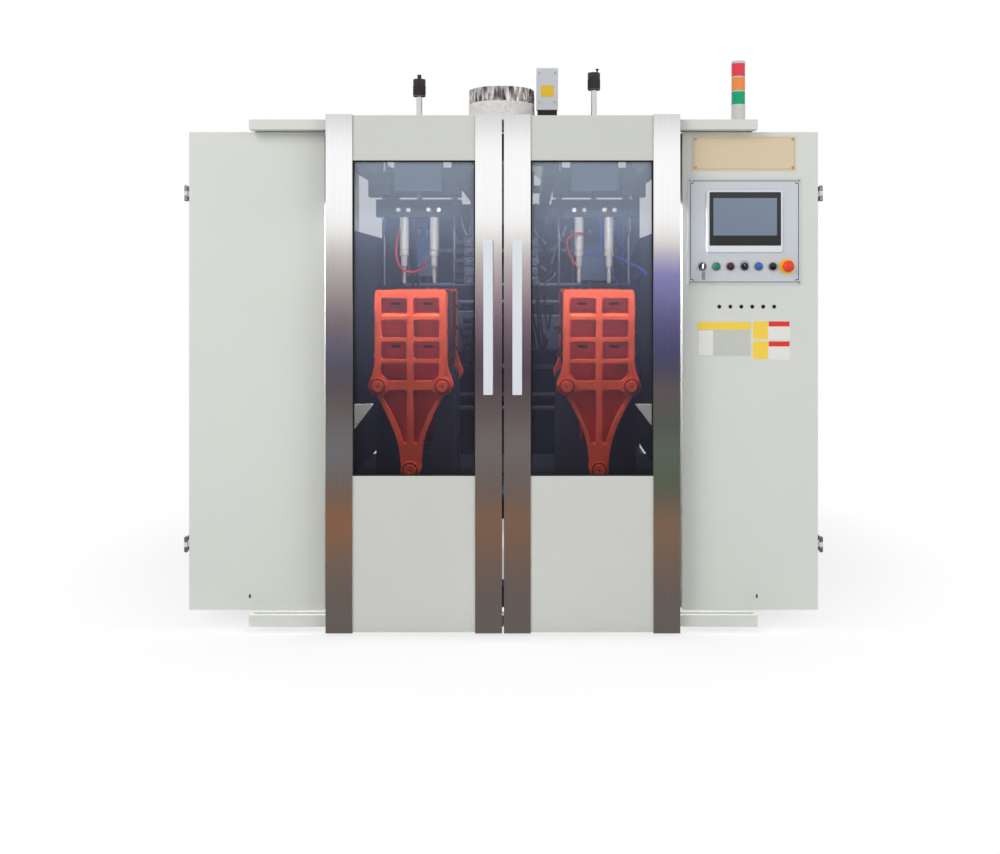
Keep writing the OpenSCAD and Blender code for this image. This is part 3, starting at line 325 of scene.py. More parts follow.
pane = tinted_glass("tinted_pane", [(0.0, (30, 28, 40), 0.30), (0.30, (56, 57, 74), 0.30),
                                    (0.55, (94, 98, 116), 0.30), (0.70, (106, 115, 135), 0.36),
                                    (1.0, (158, 172, 190), 0.44)])
foil, tree, shader, place = start_material("foil")
shader.inputs["Metallic"].default_value = 1.0
pleats_and_shading = noise_texture(tree, stretched(tree, place, (75, 75, 14)), 1.0, 4)
# Painted shade and reflection: the pleats' noise darkens and brightens the foil's colour in
# streaks.
tree.links.new(ramp(tree, pleats_and_shading, [(0.32, (0.02, 0.02, 0.025)), (0.44, (0.16, 0.14, 0.15)),
                                   (0.54, (0.50, 0.46, 0.45)), (0.66, (0.90, 0.88, 0.84))]),
               shader.inputs["Base Color"])
tree.links.new(spread(tree, pleats_and_shading, 0.12, 0.3), shader.inputs["Roughness"])
add_bump(tree, shader, pleats_and_shading, 0.5, 0.003)
glass_cloth = crumpled("glass_cloth", linear(250, 243, 240), 0.0, 0.6, 90, 0.4)
aged_tape = plain("aged_tape", linear(196, 172, 118), 0.5)
heater_metal = brushed("heater_metal", linear(150, 140, 124), (900, 2.5, 900), 0.4)
brass = brushed("brass_plate", linear(226, 208, 176), LEVEL_GRAIN, 0.4, 0.05, 0.35)
dull_brass = plain("dull_brass", linear(150, 122, 70), 0.45, 1.0)
plate_metal = brushed("plate_metal", linear(208, 213, 218), LEVEL_GRAIN, 0.4, 0.04, 0.25)
black_gloss = plain("black_gloss", linear(16, 17, 20), 0.12)
black_matt = plain("black_matt", linear(28, 28, 30), 0.5)
collar_brown = plain("collar_brown", linear(52, 42, 40), 0.45)
grey_plastic = plain("grey_plastic", linear(128, 133, 142), 0.4)
box_grey = painted("box_grey", linear(208, 213, 217), 0.4)
# Painted shade: a darker orange for the lit front faces of the platens and their bar caps, and a
# very dark one for the groove shade on the caps' rings.
casting_front_shade = cast_paint("casting_front_shade", linear(198, 74, 38))
casting_shade = cast_paint("casting_shade", linear(120, 34, 24))
door_paint = painted("door_paint", linear(206, 207, 202))
light_body = plain("light_body", linear(206, 208, 202), 0.4)
# The moulds' dark red-brown is partly their dark steel and partly painted shade: its red matches
# the shaded orange castings beside them.
mould_steel_and_shade = plain("mould_steel_and_shade", linear(74, 38, 42), 0.5)
pin_silver = plain("pin_silver", linear(226, 223, 214), 0.4, 0.6)
bolt_bright = plain("bolt_bright", linear(232, 226, 212), 0.5)
nylon = plain("nylon", linear(225, 222, 212), 0.45)
screen_film = painted("screen_film", linear(122, 136, 156), 0.2, peel=40, bump=0.3, blotch=0.16)
bezel_silver = plain("bezel_silver", linear(222, 226, 231), 0.35)
green_plastic = plain("green_plastic", linear(20, 128, 92), 0.28)
blue_plastic = plain("blue_plastic", linear(30, 98, 190), 0.28)
red_plastic = plain("red_plastic", linear(226, 62, 28), 0.3)
yellow_plastic = plain("yellow_plastic", linear(240, 196, 40), 0.35)
lens_red = plain("lens_red", linear(236, 66, 84), 0.2)
lens_orange = plain("lens_orange", linear(252, 148, 74), 0.2)
lens_green = plain("lens_green", linear(16, 170, 120), 0.2)
hose_red = plain("hose_red", linear(150, 26, 32), 0.4)
hose_blue = plain("hose_blue", linear(34, 66, 150), 0.4)
rubber = plain("rubber", linear(24, 24, 26), 0.6)

# %% [markdown]
# ## Rounded copies of the CAD parts
# A CAD solid has knife-sharp edges, and a real one catches a thin line of light on each. So most
# nodes are shown by a copy: its loose triangles are merged, its flat faces are cleaned, and a Bevel
# modifier limited by angle rounds the sharp edges. Thin sheet gets a much finer rounding than the
# rest, because a wide one would fold its narrow faces over each other.

# %% A rounded copy of a CAD node
SHARP_ANGLE = math.radians(35)
NODE_BODY = {node: body for body, nodes in frame["record"]["behaviour"]["bodies"].items()
             for node in nodes}


def finish_piece(mesh_object, material, body):
    """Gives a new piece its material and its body."""
    mesh_object.data.materials.clear()
    mesh_object.data.materials.append(material)
    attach(mesh_object, body)


def bevel_modifier(piece, width, segments=2):
    modifier = piece.modifiers.new("rounded_edges", "BEVEL")
    modifier.width = width
    modifier.segments = segments
    modifier.limit_method = "ANGLE"
    modifier.angle_limit = SHARP_ANGLE
    modifier.harden_normals = False


def clean_copy(node):
    """The node's mesh with its triangles merged into flat faces, as a bmesh."""
    bm = bmesh.new()
    bm.from_mesh(cad[node].data)
    bmesh.ops.remove_doubles(bm, verts=bm.verts, dist=0.00001)
    bmesh.ops.dissolve_limit(bm, angle_limit=math.radians(1), verts=bm.verts, edges=bm.edges,
                             delimit={"NORMAL"})
    return bm


def link_mesh(name, bm, smooth=True):
    mesh = bpy.data.meshes.new(name)
    bm.to_mesh(mesh)
    bm.free()
    mesh.polygons.foreach_set("use_smooth", [smooth] * len(mesh.polygons))
    piece = bpy.data.objects.new(name, mesh)
    bpy.context.scene.collection.objects.link(piece)
    if smooth:
        mesh.set_sharp_from_angle(angle=SHARP_ANGLE)
    return piece


def dress(node, material, width):
    """Shows a CAD node by a rounded copy in its own finish."""
    piece = link_mesh("dressed_" + node, clean_copy(node))
    finish_piece(piece, material, NODE_BODY[node])
    bevel_modifier(piece, width)
    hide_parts(node)


SLOTS = {part["node"]: part["material_slot"] for part in frame["record"]["subparts"]}
FINISH = {
    "cabinet_paint": cabinet_paint, "frame_paint": frame_paint, "casting_paint": casting_orange,
    "blue_grey_paint": blue_grey_paint, "stainless": stainless, "machined_steel": machined,
    "chrome_rod": chrome, "tinted_pane": pane, "foil": foil, "heater_metal": heater_metal,
    "grey_plastic": grey_plastic, "nylon": nylon, "black_plastic": black_gloss,
    "green_plastic": green_plastic, "blue_plastic": blue_plastic, "red_plastic": red_plastic,
    "lens_plastic": lens_red,
}
NODE_FINISH = {"control_plate": plate_metal, "stack_light_body": light_body,
               "hinge_pins": machined}
for side in SIDES:
    NODE_FINISH[f"{side}_door_handle"] = handle_metal
    NODE_FINISH[f"{side}_door_panel"] = door_paint
    NODE_FINISH[f"{side}_blow_pins"] = pin_silver
    NODE_FINISH[f"{side}_front_mould"] = mould_steel_and_shade
    NODE_FINISH[f"{side}_rear_mould"] = mould_steel_and_shade
PLAIN_NODES = {f"{side}_door_window" for side in SIDES}
SHEET_NODES = {f"{side}_door_panel" for side in SIDES}
EDGE, SHEET_EDGE = 0.0015, 0.0004
OWN_PIECES = {"operator_panel", "stack_light_lenses", "die_head_wrap", "button_bezels",
              "key_switch", "green_button", "selector_switch", "blue_button", "black_button",
              "estop_button", "terminal_box"}
OWN_PIECES |= {f"{side}_{part}" for side in SIDES
               for part in ("blow_head", "door_strips", "front_platen")}
for node in sorted(cad):
    if node in PLAIN_NODES:
        cad[node].data.materials.clear()
        cad[node].data.materials.append(FINISH[SLOTS[node]])
    elif node not in OWN_PIECES:
        dress(node, NODE_FINISH.get(node, FINISH[SLOTS[node]]),
              SHEET_EDGE if node in SHEET_NODES else EDGE)

# %% [markdown]
# ## Helpers for new pieces
# A few bmesh starts cover most of a machine: a block between two corners, a profile spun round an
# axis, a row of bolt heads, and a tube bent along a smooth curve.

# %% Block, spun profile, bolts and tube
def block(bm, low, high):
    """Adds a cube between two corners to a bmesh."""
    low, high = Vector(low), Vector(high)
    size = high - low
    matrix = Matrix.Translation((low + high) / 2) @ Matrix.Diagonal((*size, 1))
    bmesh.ops.create_cube(bm, size=1, matrix=matrix)


def turned(centre, angle, axis, reach, size):
    """A matrix for a small form of a given size, at a reach from a centre and turned round it."""
    return (Matrix.Translation(centre) @ Matrix.Rotation(angle, 4, axis)
            @ Matrix.Translation(reach) @ Matrix.Diagonal((*size, 1)))


def make_piece(name, bm, material, body, bevel=0.0, segments=2, smooth=True):
    """Turns a bmesh into a finished piece that rides on a body."""
    piece = link_mesh(name, bm, smooth)
    finish_piece(piece, material, body)
    if bevel:
        bevel_modifier(piece, bevel, segments)
    return piece


def blocks_piece(name, corners, material, body, bevel=0.001):
    bm = bmesh.new()
    for low, high in corners:
        block(bm, low, high)
    return make_piece(name, bm, material, body, bevel)


AXIS_TURN = {
    "+z": Matrix.Identity(4), "-y": Matrix.Rotation(math.radians(90), 4, "X"),
    "+y": Matrix.Rotation(math.radians(-90), 4, "X"),
    "+x": Matrix.Rotation(math.radians(90), 4, "Y"),
    "-x": Matrix.Rotation(math.radians(-90), 4, "Y"), "-z": Matrix.Rotation(math.pi, 4, "X"),
}


def spin_profile(bm, profile, centre, axis="+z", steps=48):
    """Spins (radius, height) points round an axis through the centre."""
    verts = [bm.verts.new((radius, 0, height)) for radius, height in profile]
    edges = [bm.edges.new(pair) for pair in zip(verts, verts[1:])]
    bmesh.ops.spin(bm, geom=verts + edges, cent=(0, 0, 0), axis=(0, 0, 1),
                   angle=math.tau, steps=steps, use_merge=True)
    new = {v for v in verts if v.is_valid}
    for face in {f for v in new for f in v.link_faces}:
        new.update(face.verts)
    frontier = list(new)
    while frontier:
        vert = frontier.pop()
        for edge in vert.link_edges:
            other = edge.other_vert(vert)
            if other not in new:
                new.add(other)
                frontier.append(other)
    new = list(new)
    bmesh.ops.remove_doubles(bm, verts=new, dist=0.000005)
    new = [v for v in new if v.is_valid]
    faces = list({f for v in new for f in v.link_faces})
    bmesh.ops.recalc_face_normals(bm, faces=faces)
    bmesh.ops.transform(bm, matrix=Matrix.Translation(centre) @ AXIS_TURN[axis], verts=new)


def spun_piece(name, profile, places, material, body, axis="+z", steps=48):
    """One profile spun at each of its places, as one piece."""
    bm = bmesh.new()
    for place in places:
        spin_profile(bm, profile, place, axis, steps)
    return make_piece(name, bm, material, body)


def bolt_heads(name, places, radius, height, axis, material, body, sides=6):
    """A group of like bolt or screw heads."""
    bm = bmesh.new()
    for place in places:
        matrix = (Matrix.Translation(place) @ AXIS_TURN[axis]
                  @ Matrix.Translation((0, 0, height / 2)))
        bmesh.ops.create_cone(bm, cap_ends=True, segments=sides, radius1=radius,
                              radius2=radius * 0.94, depth=height, matrix=matrix)
    return make_piece(name, bm, material, body, bevel=min(radius, height) * 0.15)


def smooth_path(points, steps=8):
    """Catmull-Rom points through a few given points."""
    points = [Vector(p) for p in points]
    padded = [2 * points[0] - points[1]] + points + [2 * points[-1] - points[-2]]
    path = []
    for a, b, c, d in zip(padded, padded[1:], padded[2:], padded[3:]):
        for step in range(steps):
            t = step / steps
            path.append(0.5 * ((2 * b) + (c - a) * t + (2 * a - 5 * b + 4 * c - d) * t * t
                               + (3 * b - a - 3 * c + d) * t ** 3))
    return path + [points[-1]]


def tube_piece(name, routes, radius, material, body, sides=12):
    """Hoses or pipes along smooth routes, as one mesh with closed ends."""
    bm = bmesh.new()
    for route in routes:
        path = smooth_path(route)
        side = None
        rings = []
        for i, point in enumerate(path):
            ahead = path[min(i + 1, len(path) - 1)] - path[max(i - 1, 0)]
            ahead.normalize()
            if side is None:
                side = ahead.orthogonal().normalized()
            side = (side - ahead * side.dot(ahead)).normalized()
            up = ahead.cross(side)
            ring = [bm.verts.new(point + radius * (math.cos(a) * side + math.sin(a) * up))
                    for a in (math.tau * k / sides for k in range(sides))]
            rings.append(ring)
        for ring, after in zip(rings, rings[1:]):
            for k in range(sides):
                j = (k + 1) % sides
                bm.faces.new((ring[k], ring[j], after[j], after[k]))
        bm.faces.new(list(reversed(rings[0])))
        bm.faces.new(rings[-1])
    bmesh.ops.recalc_face_normals(bm, faces=bm.faces)
    return make_piece(name, bm, material, body)


# %% [markdown]
# ## Window gaskets
# A black rubber profile seats the pane in the door panel. It's a thin frame that only shows as a
# dark line, but without it the glass seems to float in the sheet.

# %% Gaskets
def rectangle_frame(low, high, width):
    """Four bars round a rectangle in X and Z, between two depths."""
    (x0, y0, z0), (x1, y1, z1) = low, high
    return [((x0, y0, z0), (x0 + width, y1, z1)), ((x1 - width, y0, z0), (x1, y1, z1)),
            ((x0 + width, y0, z0), (x1 - width, y1, z0 + width)),
            ((x0 + width, y0, z1 - width), (x1 - width, y1, z1))]


PANE_LAP = 0.012
GASKET = 0.005
for side in SIDES:
    low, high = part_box(f"{side}_door_window")
    panel_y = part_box(f"{side}_door_panel")[0].y
    corners = rectangle_frame((low.x + PANE_LAP, panel_y + 0.001, low.z + PANE_LAP),
                              (high.x - PANE_LAP, low.y, high.z - PANE_LAP), GASKET)
    blocks_piece(f"{side}_window_gasket", corners, rubber, f"{side}_sliding_door",
                 bevel=0.0012)

# %% [markdown]
# ## Name plate, control plate and labels
# The brass plate, the dark line round the control plate and the label fields are thin trim on
# folded sheet. They stay bare of words: only their outlines, screws and colours are modelled.

# %% Plates with thin lines and screws
DOOR_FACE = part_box("control_door")[0].y


def outline_line(low, high, y, width, height, notch=0.0):
    """A raised thin frame, with square notches at its corners if asked."""
    x0, z0 = low
    x1, z1 = high
    bars = []
    for x in (x0, x1 - width):
        bars.append(((x, y - height, z0 + notch), (x + width, y, z1 - notch)))
    for z in (z0, z1 - width):
        bars.append(((x0 + notch, y - height, z), (x1 - notch, y, z + width)))
    if notch:
        for x in (x0, x1 - notch):
            for z in (z0 + notch - width, z1 - notch):
                bars.append(((x, y - height, z), (x + notch, y, z + width)))
        for x in (x0 + notch - width, x1 - notch):
            for z in (z0, z1 - notch):
                bars.append(((x, y - height, z), (x + width, y, z + notch)))
    return bars


PLATE_LEFT, PLATE_RIGHT = 0.6425, 0.9945
PLATE_BOTTOM, PLATE_TOP = 1.5555, 1.6735
PLATE_T = 0.0015
blocks_piece("name_plate", [((PLATE_LEFT, DOOR_FACE - PLATE_T, PLATE_BOTTOM),
                             (PLATE_RIGHT, DOOR_FACE, PLATE_TOP))],
             brass, "control_door", bevel=0.0005)
BORDER_INSET = 0.006
blocks_piece("name_plate_border",
             outline_line((PLATE_LEFT + BORDER_INSET, PLATE_BOTTOM + BORDER_INSET),
                          (PLATE_RIGHT - BORDER_INSET, PLATE_TOP - BORDER_INSET),
                          DOOR_FACE - PLATE_T, 0.0014, 0.0004),
             aged_tape, "control_door", bevel=0)


def corner_screws(name, low, high, y, inset):
    """Four round screw heads in the corners of a plate, between two (x, z) corners."""
    places = [(x, y, z) for x in (low[0] + inset, high[0] - inset)
              for z in (low[1] + inset, high[1] - inset)]
    bolt_heads(name, places, 0.0042, 0.0022, "-y", machined, "control_door",
               sides=20)


corner_screws("name_plate_screws", (PLATE_LEFT, PLATE_BOTTOM), (PLATE_RIGHT, PLATE_TOP),
              DOOR_FACE - PLATE_T, 0.011)

plate_low, plate_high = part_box("control_plate")
LINE_INSET = 0.009
blocks_piece("control_plate_line",
             outline_line((plate_low.x + LINE_INSET, plate_low.z + LINE_INSET),
                          (plate_high.x - LINE_INSET, plate_high.z - LINE_INSET), plate_low.y,
                          0.0022, 0.0003, notch=0.011),
             black_matt, "control_door", bevel=0)
corner_screws("control_plate_screws", (plate_low.x, plate_low.z), (plate_high.x, plate_high.z),
              plate_low.y, 0.0095)

# %% [markdown]
# ## The operator panel
# A bought-in unit: a silver bezel with a wider lower band, a black glass, and a screen still under
# its protective film, which makes it a misty blue grey.

# %% Bezel, glass and screen
hmi_low, hmi_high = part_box("operator_panel")
BEZEL_SIDE, BEZEL_TOP, BEZEL_FOOT = 0.0105, 0.0065, 0.0235


def plate_with_round_corners(name, low, high, radius, material, body, bevel=0.0008):
    """A flat plate in X and Z whose four upright edges are rounded."""
    bm = bmesh.new()
    block(bm, low, high)
    corner_edges = [e for e in bm.edges
                    if abs(e.verts[0].co.y - e.verts[1].co.y) > 0.9 * (high[1] - low[1])]
    bmesh.ops.bevel(bm, geom=corner_edges, offset=radius, offset_type="OFFSET", segments=6,
                    profile=0.5, affect="EDGES", material=-1)
    return make_piece(name, bm, material, body, bevel)


bezel = plate_with_round_corners("operator_panel_bezel", tuple(hmi_low), tuple(hmi_high), 0.008,
                                 bezel_silver, "control_door", 0.003)
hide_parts("operator_panel")
glass_low = (hmi_low.x + BEZEL_SIDE, hmi_low.y - 0.0006, hmi_low.z + BEZEL_FOOT)
glass_high = (hmi_high.x - BEZEL_SIDE / 1.4, hmi_low.y + 0.001, hmi_high.z - BEZEL_TOP)
plate_with_round_corners("operator_panel_glass", glass_low, glass_high, 0.004, black_gloss,
                         "control_door", 0.0003)
screen_low = (hmi_low.x + 0.024, hmi_low.y - 0.0009, hmi_low.z + 0.058)
screen_high = (hmi_high.x - 0.0215, hmi_low.y, hmi_high.z - 0.027)
plate_with_round_corners("operator_screen", screen_low, screen_high, 0.0015, screen_film,
                         "control_door", 0.0002)

# %% [markdown]
# ## The row of controls
# Seven devices sit in one row. Six have a metal bezel with a small step, and the emergency stop
# has a yellow collar. Each cap has its own profile: a key lock, a domed button, a buzzer, a
# selector with a bar, and the emergency stop's mushroom. A profile is spun, then laid on its side
# to face -Y.

# %% Control places
PITCH = 0.048
GREEN_X, _, CONTROL_Z = box_centre("green_button")
CONTROL_X0 = GREEN_X - PITCH
PLATE_FACE = plate_low.y
BEZEL_T = 0.006


KEY, GREEN, BUZZER, SELECTOR, BLUE, BLACK, STOP = range(7)


def control_place(index, out=0.0):
    """The centre of a device on the plate's face, or a little way out from it."""
    return (CONTROL_X0 + index * PITCH, PLATE_FACE - out, CONTROL_Z)


# %% Bezels
BEZEL_PROFILE = [(0.0114, 0.0), (0.0114, 0.005), (0.0122, 0.006), (0.0142, 0.006),
                 (0.0149, 0.0048), (0.015, 0.0)]
COLLAR_PROFILE = [(0.0105, 0.0), (0.0105, 0.0062), (0.018, 0.0062), (0.0235, 0.0052),
                  (0.0258, 0.003), (0.026, 0.0)]
bezels = spun_piece("control_bezels", BEZEL_PROFILE, [control_place(i) for i in range(STOP)],
                    machined, "control_door", "-y")
spun_piece("estop_collar", COLLAR_PROFILE, [control_place(STOP)], yellow_plastic, "control_door",
           "-y")
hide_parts("button_bezels")

# %% [markdown]
# ## Caps
# The three push buttons are shallow domes inside their bezels, and the emergency stop is a mushroom
# with a softly rounded rim. A profile needs only the points where its curve changes.

# %% Push buttons and the emergency stop
CAP_R = 0.0108
CAP_TOP = BEZEL_T + 0.004


def dome(radius, low, high, rise, rim=0.0015, steps=7):
    """A closed cap profile: straight side, rounded rim and a shallow dome."""
    points = [(0.0, low), (radius, low), (radius, high - rise - rim)]
    points += [(radius - rim + rim * math.cos(a), high - rise - rim + rim * math.sin(a))
               for a in (math.pi / 2 * k / 3 for k in range(1, 4))]
    points += [((radius - rim) * (1 - k / steps), high - rise * (1 - k / steps) ** 2)
               for k in range(1, steps + 1)]
    return points


for index, name, material, slot in ((GREEN, "green_button", green_plastic, "green_plastic"),
                                    (BLUE, "blue_button", blue_plastic, "blue_plastic"),
                                    (BLACK, "black_button", black_gloss, "black_plastic")):
    cap = spun_piece(f"{name}_cap", dome(CAP_R, 0.002, CAP_TOP, 0.0012), [control_place(index)],
                     material, name, "-y")
    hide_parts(name)

STOP_OUT = PLATE_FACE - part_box("estop_button")[0].y
STOP_R = 0.02
mushroom = [(0.0, 0.0105), (0.0095, 0.0105), (0.0095, 0.0165), (0.017, 0.018), (STOP_R, 0.0205)]
mushroom += [(STOP_R * math.cos(a), 0.0225 + (STOP_OUT - 0.0225) * math.sin(a))
             for a in (math.pi / 2 * k / 9 for k in range(10))]
stop_cap = spun_piece("estop_mushroom", mushroom, [control_place(STOP)], red_plastic,
                      "estop_button", "-y")
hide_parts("estop_button")

# %% [markdown]
# ## Buzzer, selector and key
# The buzzer is a black disc with four dark red petals. The selector is a black disc with a raised
# bar and a white mark. The key switch has a black face and a flat key, and a ring with a tag hangs
# from the key's bow.

# %% Buzzer
spun_piece("buzzer_face", dome(0.0112, 0.001, BEZEL_T + 0.003, 0.001), [control_place(BUZZER)],
           black_gloss, "control_door", "-y")
bm = bmesh.new()
for k in range(4):
    petal = turned(control_place(BUZZER, BEZEL_T + 0.0029), math.radians(45 + 90 * k), "Y",
                   (0.0052, 0, 0), (1.5, 0.5, 0.9))
    bmesh.ops.create_uvsphere(bm, u_segments=16, v_segments=8, radius=0.0022, matrix=petal)
make_piece("buzzer_petals", bm, hose_red, "control_door")

# %% Selector and key
selector_disc = [(0.0, 0.001), (CAP_R, 0.001), (CAP_R, BEZEL_T + 0.004),
                 (0.0098, BEZEL_T + 0.0055), (0.0, BEZEL_T + 0.0055)]
bm = bmesh.new()
spin_profile(bm, selector_disc, control_place(SELECTOR), "-y")
sx, sy, sz = control_place(SELECTOR, BEZEL_T + 0.005)
SELECTOR_TURN = math.radians(-38)
bmesh.ops.create_cube(bm, size=1, matrix=turned((sx, sy - 0.006, sz), SELECTOR_TURN, "Y",
                                                (0, 0, 0), (0.006, 0.012, 0.0185)))
selector = make_piece("selector_knob", bm, black_matt, "selector_switch", 0.0008)
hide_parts("selector_switch")
bm = bmesh.new()
bmesh.ops.create_cube(bm, size=1, matrix=turned((sx, sy - 0.0121, sz), SELECTOR_TURN, "Y",
                                                (0, 0, 0.005), (0.0012, 0.0004, 0.007)))
make_piece("selector_mark", bm, nylon, "selector_switch")

lock_face = [(0.0, 0.001), (CAP_R, 0.001), (CAP_R, BEZEL_T + 0.001), (0.0095, BEZEL_T + 0.0025),
             (0.0, BEZEL_T + 0.0025)]
lock = spun_piece("key_lock_face", lock_face, [control_place(KEY)], black_gloss, "key_switch",
                  "-y")
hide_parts("key_switch")
kx, ky, kz = control_place(KEY, BEZEL_T + 0.002)
bm = bmesh.new()
block(bm, (kx - 0.0011, ky - 0.011, kz - 0.0035), (kx + 0.0011, ky, kz + 0.0035))
KEY_BOW_R, KEY_T = 0.0095, 0.0022
bmesh.ops.create_cone(bm, cap_ends=True, segments=28, radius1=KEY_BOW_R, radius2=KEY_BOW_R,
                      depth=KEY_T,
                      matrix=Matrix.Translation((kx, ky - 0.017, kz)) @ AXIS_TURN["+x"])
make_piece("key", bm, bezel_silver, "key_switch", 0.0004)


def ring_profile(radius, wire, steps=10):
    """A closed circle of wire, to spin into a ring."""
    return [(radius + wire * math.cos(a), wire * math.sin(a))
            for a in (math.tau * k / steps for k in range(steps + 1))]


spun_piece("key_ring", ring_profile(0.009, 0.0007), [(kx, ky - 0.0222, kz - 0.0085)], chrome,
           "key_switch", "-y", 28)
tag_z = kz - 0.034
plate_with_round_corners("key_tag", (kx - 0.006, ky - 0.0232, tag_z - 0.012),
                         (kx + 0.006, ky - 0.0212, tag_z + 0.016), 0.003, machined,
                         "key_switch", 0.0004)

# %% [markdown]
# ## Marks, indicators and label fields
# Seven small dark ticks on an arc mark the selector's range. Under the plate are six small round
# indicators, and below them the label fields, kept as bare blocks of colour without words or signs.

# %% Selector arc and indicators
bm = bmesh.new()
ARC_R = 0.0185
for k in range(-3, 4):
    tick = turned((sx, PLATE_FACE - 0.0002, sz), math.radians(15 * k), "Y", (0, 0, ARC_R),
                  (0.0048, 0.0005, 0.0012))
    bmesh.ops.create_cube(bm, size=1, matrix=tick)
make_piece("selector_arc", bm, black_matt, "control_door")

INDICATOR_Z = 1.0935
INDICATOR_X0, INDICATOR_PITCH = 0.734, 0.0373
indicator = [(0.0, 0.0), (0.0062, 0.0), (0.0062, 0.001), (0.0048, 0.0018), (0.004, 0.0032),
             (0.002, 0.0042), (0.0, 0.0044)]
indicator_places = [(INDICATOR_X0 + k * INDICATOR_PITCH, DOOR_FACE, INDICATOR_Z)
                    for k in range(6)]
spun_piece("indicators", indicator, indicator_places, black_gloss, "control_door",
           "-y", 24)
spun_piece("indicator_rims", ring_profile(0.0064, 0.0007), indicator_places, machined,
           "control_door", "-y", 24)

# %% Label fields
label_white = plain("label_white", linear(228, 228, 222), 0.4)
label_grey = plain("label_grey", linear(196, 198, 190), 0.4)
label_yellow = plain("label_yellow", linear(246, 208, 72), 0.4)
label_red = plain("label_red", linear(226, 48, 38), 0.4)
LABEL_T = 0.0004


def field(name, x, z, material, layer=1):
    """A thin field of colour on the control door, between two X and two Z values."""
    blocks_piece(name, [((x[0], DOOR_FACE - LABEL_T * layer, z[0]), (x[1], DOOR_FACE, z[1]))],
                 material, "control_door", bevel=0)


field("large_label", (0.660, 0.840), (0.925, 1.041), label_grey)
field("large_label_header", (0.660, 0.840), (1.0153, 1.041), label_yellow, 2)
field("large_label_cell", (0.6625, 0.7125), (0.9275, 1.0128), label_white, 2)
for name, top in (("upper", 1.0445), ("lower", 0.9765)):
    field(f"{name}_label", (0.8462, 0.974), (top - 0.0628, top), label_white)
    field(f"{name}_label_square", (0.8475, 0.8995), (top - 0.0615, top - 0.0013), label_yellow, 2)
    field(f"{name}_label_header", (0.9015, 0.9727), (top - 0.0185, top - 0.0013), label_red, 2)

# %% [markdown]
# ## The stack light
# Three ribbed lenses stand on a light grey stem: green at the bottom, then orange, then red. The
# ribs are part of the spun profile, so they catch the light as fine level lines.

# %% Ribbed lenses
light_low, light_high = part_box("stack_light_lenses")
LIGHT_X, LIGHT_Y, _ = box_centre("stack_light_lenses")
LENS_R = (light_high.x - light_low.x) / 2
LENS_PITCH = 0.051
LENS_H = 0.045


def lens_profile(radius, height, ribs=9, depth=0.0007):
    """A lens with level ribs between two plain rims."""
    rim = 0.003
    points = [(0.0, 0.0), (radius - 0.001, 0.0), (radius, 0.001), (radius, rim)]
    step = (height - 2 * rim) / ribs
    for k in range(ribs):
        points += [(r, rim + step * (k + part)) for r, part in
                   ((radius - depth, 0.25), (radius - depth, 0.5), (radius, 0.75), (radius, 1))]
    points += [(radius, height - 0.001), (radius - 0.001, height), (0.0, height)]
    return points


for index, (name, material) in enumerate((("green", lens_green), ("orange", lens_orange),
                                          ("red", lens_red))):
    place = (LIGHT_X, LIGHT_Y, light_low.z + index * LENS_PITCH)
    lens = spun_piece(f"stack_light_{name}", lens_profile(LENS_R, LENS_H), [place], material,
                      "root")
    if index == 0:
        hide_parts("stack_light_lenses")

# %% [markdown]
# ## Foil and cloth round the die head
# The heated head is wrapped by hand: glass cloth below, crumpled aluminium foil above. The wrap is
# a fine cylinder whose rings are pushed in by two noises, one for big dents and one for creases.
# Every push is inwards, so the CAD wrap stays the outermost size.

# %% Crumpled wrap
wrap_low, wrap_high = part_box("die_head_wrap")
WRAP_X, WRAP_Y, _ = box_centre("die_head_wrap")
WRAP_R = (wrap_high.x - wrap_low.x) / 2
FOIL_H = 0.056
FOIL_Z = wrap_high.z - FOIL_H
CREASE = 9


def crumpled_ring(name, z0, z1, material, depth, seed, rows, rise, lip=0.0, around=240):
    """A wrinkled open cylinder with a rolled lip at its top."""
    bm = bmesh.new()
    rings = []
    for row in range(rows + 1):
        z = z0 + (z1 - z0) * row / rows
        ring = []
        for k in range(around):
            angle = math.tau * k / around
            point = Vector((math.cos(angle) * CREASE, math.sin(angle) * CREASE, z * rise + seed))
            dent = abs(noise.noise(point * 0.8)) + 0.6 * abs(noise.noise(point * 2.2))
            radius = WRAP_R - 0.0005 - depth * min(1, dent)
            ring.append(bm.verts.new((WRAP_X + radius * math.cos(angle),
                                      WRAP_Y + radius * math.sin(angle), z)))
        rings.append(ring)
    if lip:
        inner = []
        for k in range(around):
            angle = math.tau * k / around
            wave = 0.004 * noise.noise(Vector((math.cos(angle) * 6, math.sin(angle) * 6, seed)))
            radius = WRAP_R - lip - abs(wave)
            inner.append(bm.verts.new((WRAP_X + radius * math.cos(angle),
                                       WRAP_Y + radius * math.sin(angle), z1 - 0.002)))
        rings.append(inner)
    for ring, after in zip(rings, rings[1:]):
        for k in range(around):
            j = (k + 1) % around
            bm.faces.new((ring[k], ring[j], after[j], after[k]))
    bmesh.ops.recalc_face_normals(bm, faces=bm.faces)
    return make_piece(name, bm, material, "root")


foil_band = crumpled_ring("die_head_foil", FOIL_Z, wrap_high.z - 0.0006, foil, 0.007, 4.0, 24,
                          rise=10, lip=0.02)
crumpled_ring("die_head_cloth", wrap_low.z, FOIL_Z + 0.001, glass_cloth, 0.0035, 9.0, 14, rise=50)
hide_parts("die_head_wrap")

# %% [markdown]
# ## One node in several finishes
# A blow head is one rigid body, but its parts are not one material: a dark beam, chromed columns
# and bright bolts. A rounded copy gets a list of materials, and each face picks one by its place.
# Faces of the CAD's plain stroke collar are dropped, because a knurled one takes their place.

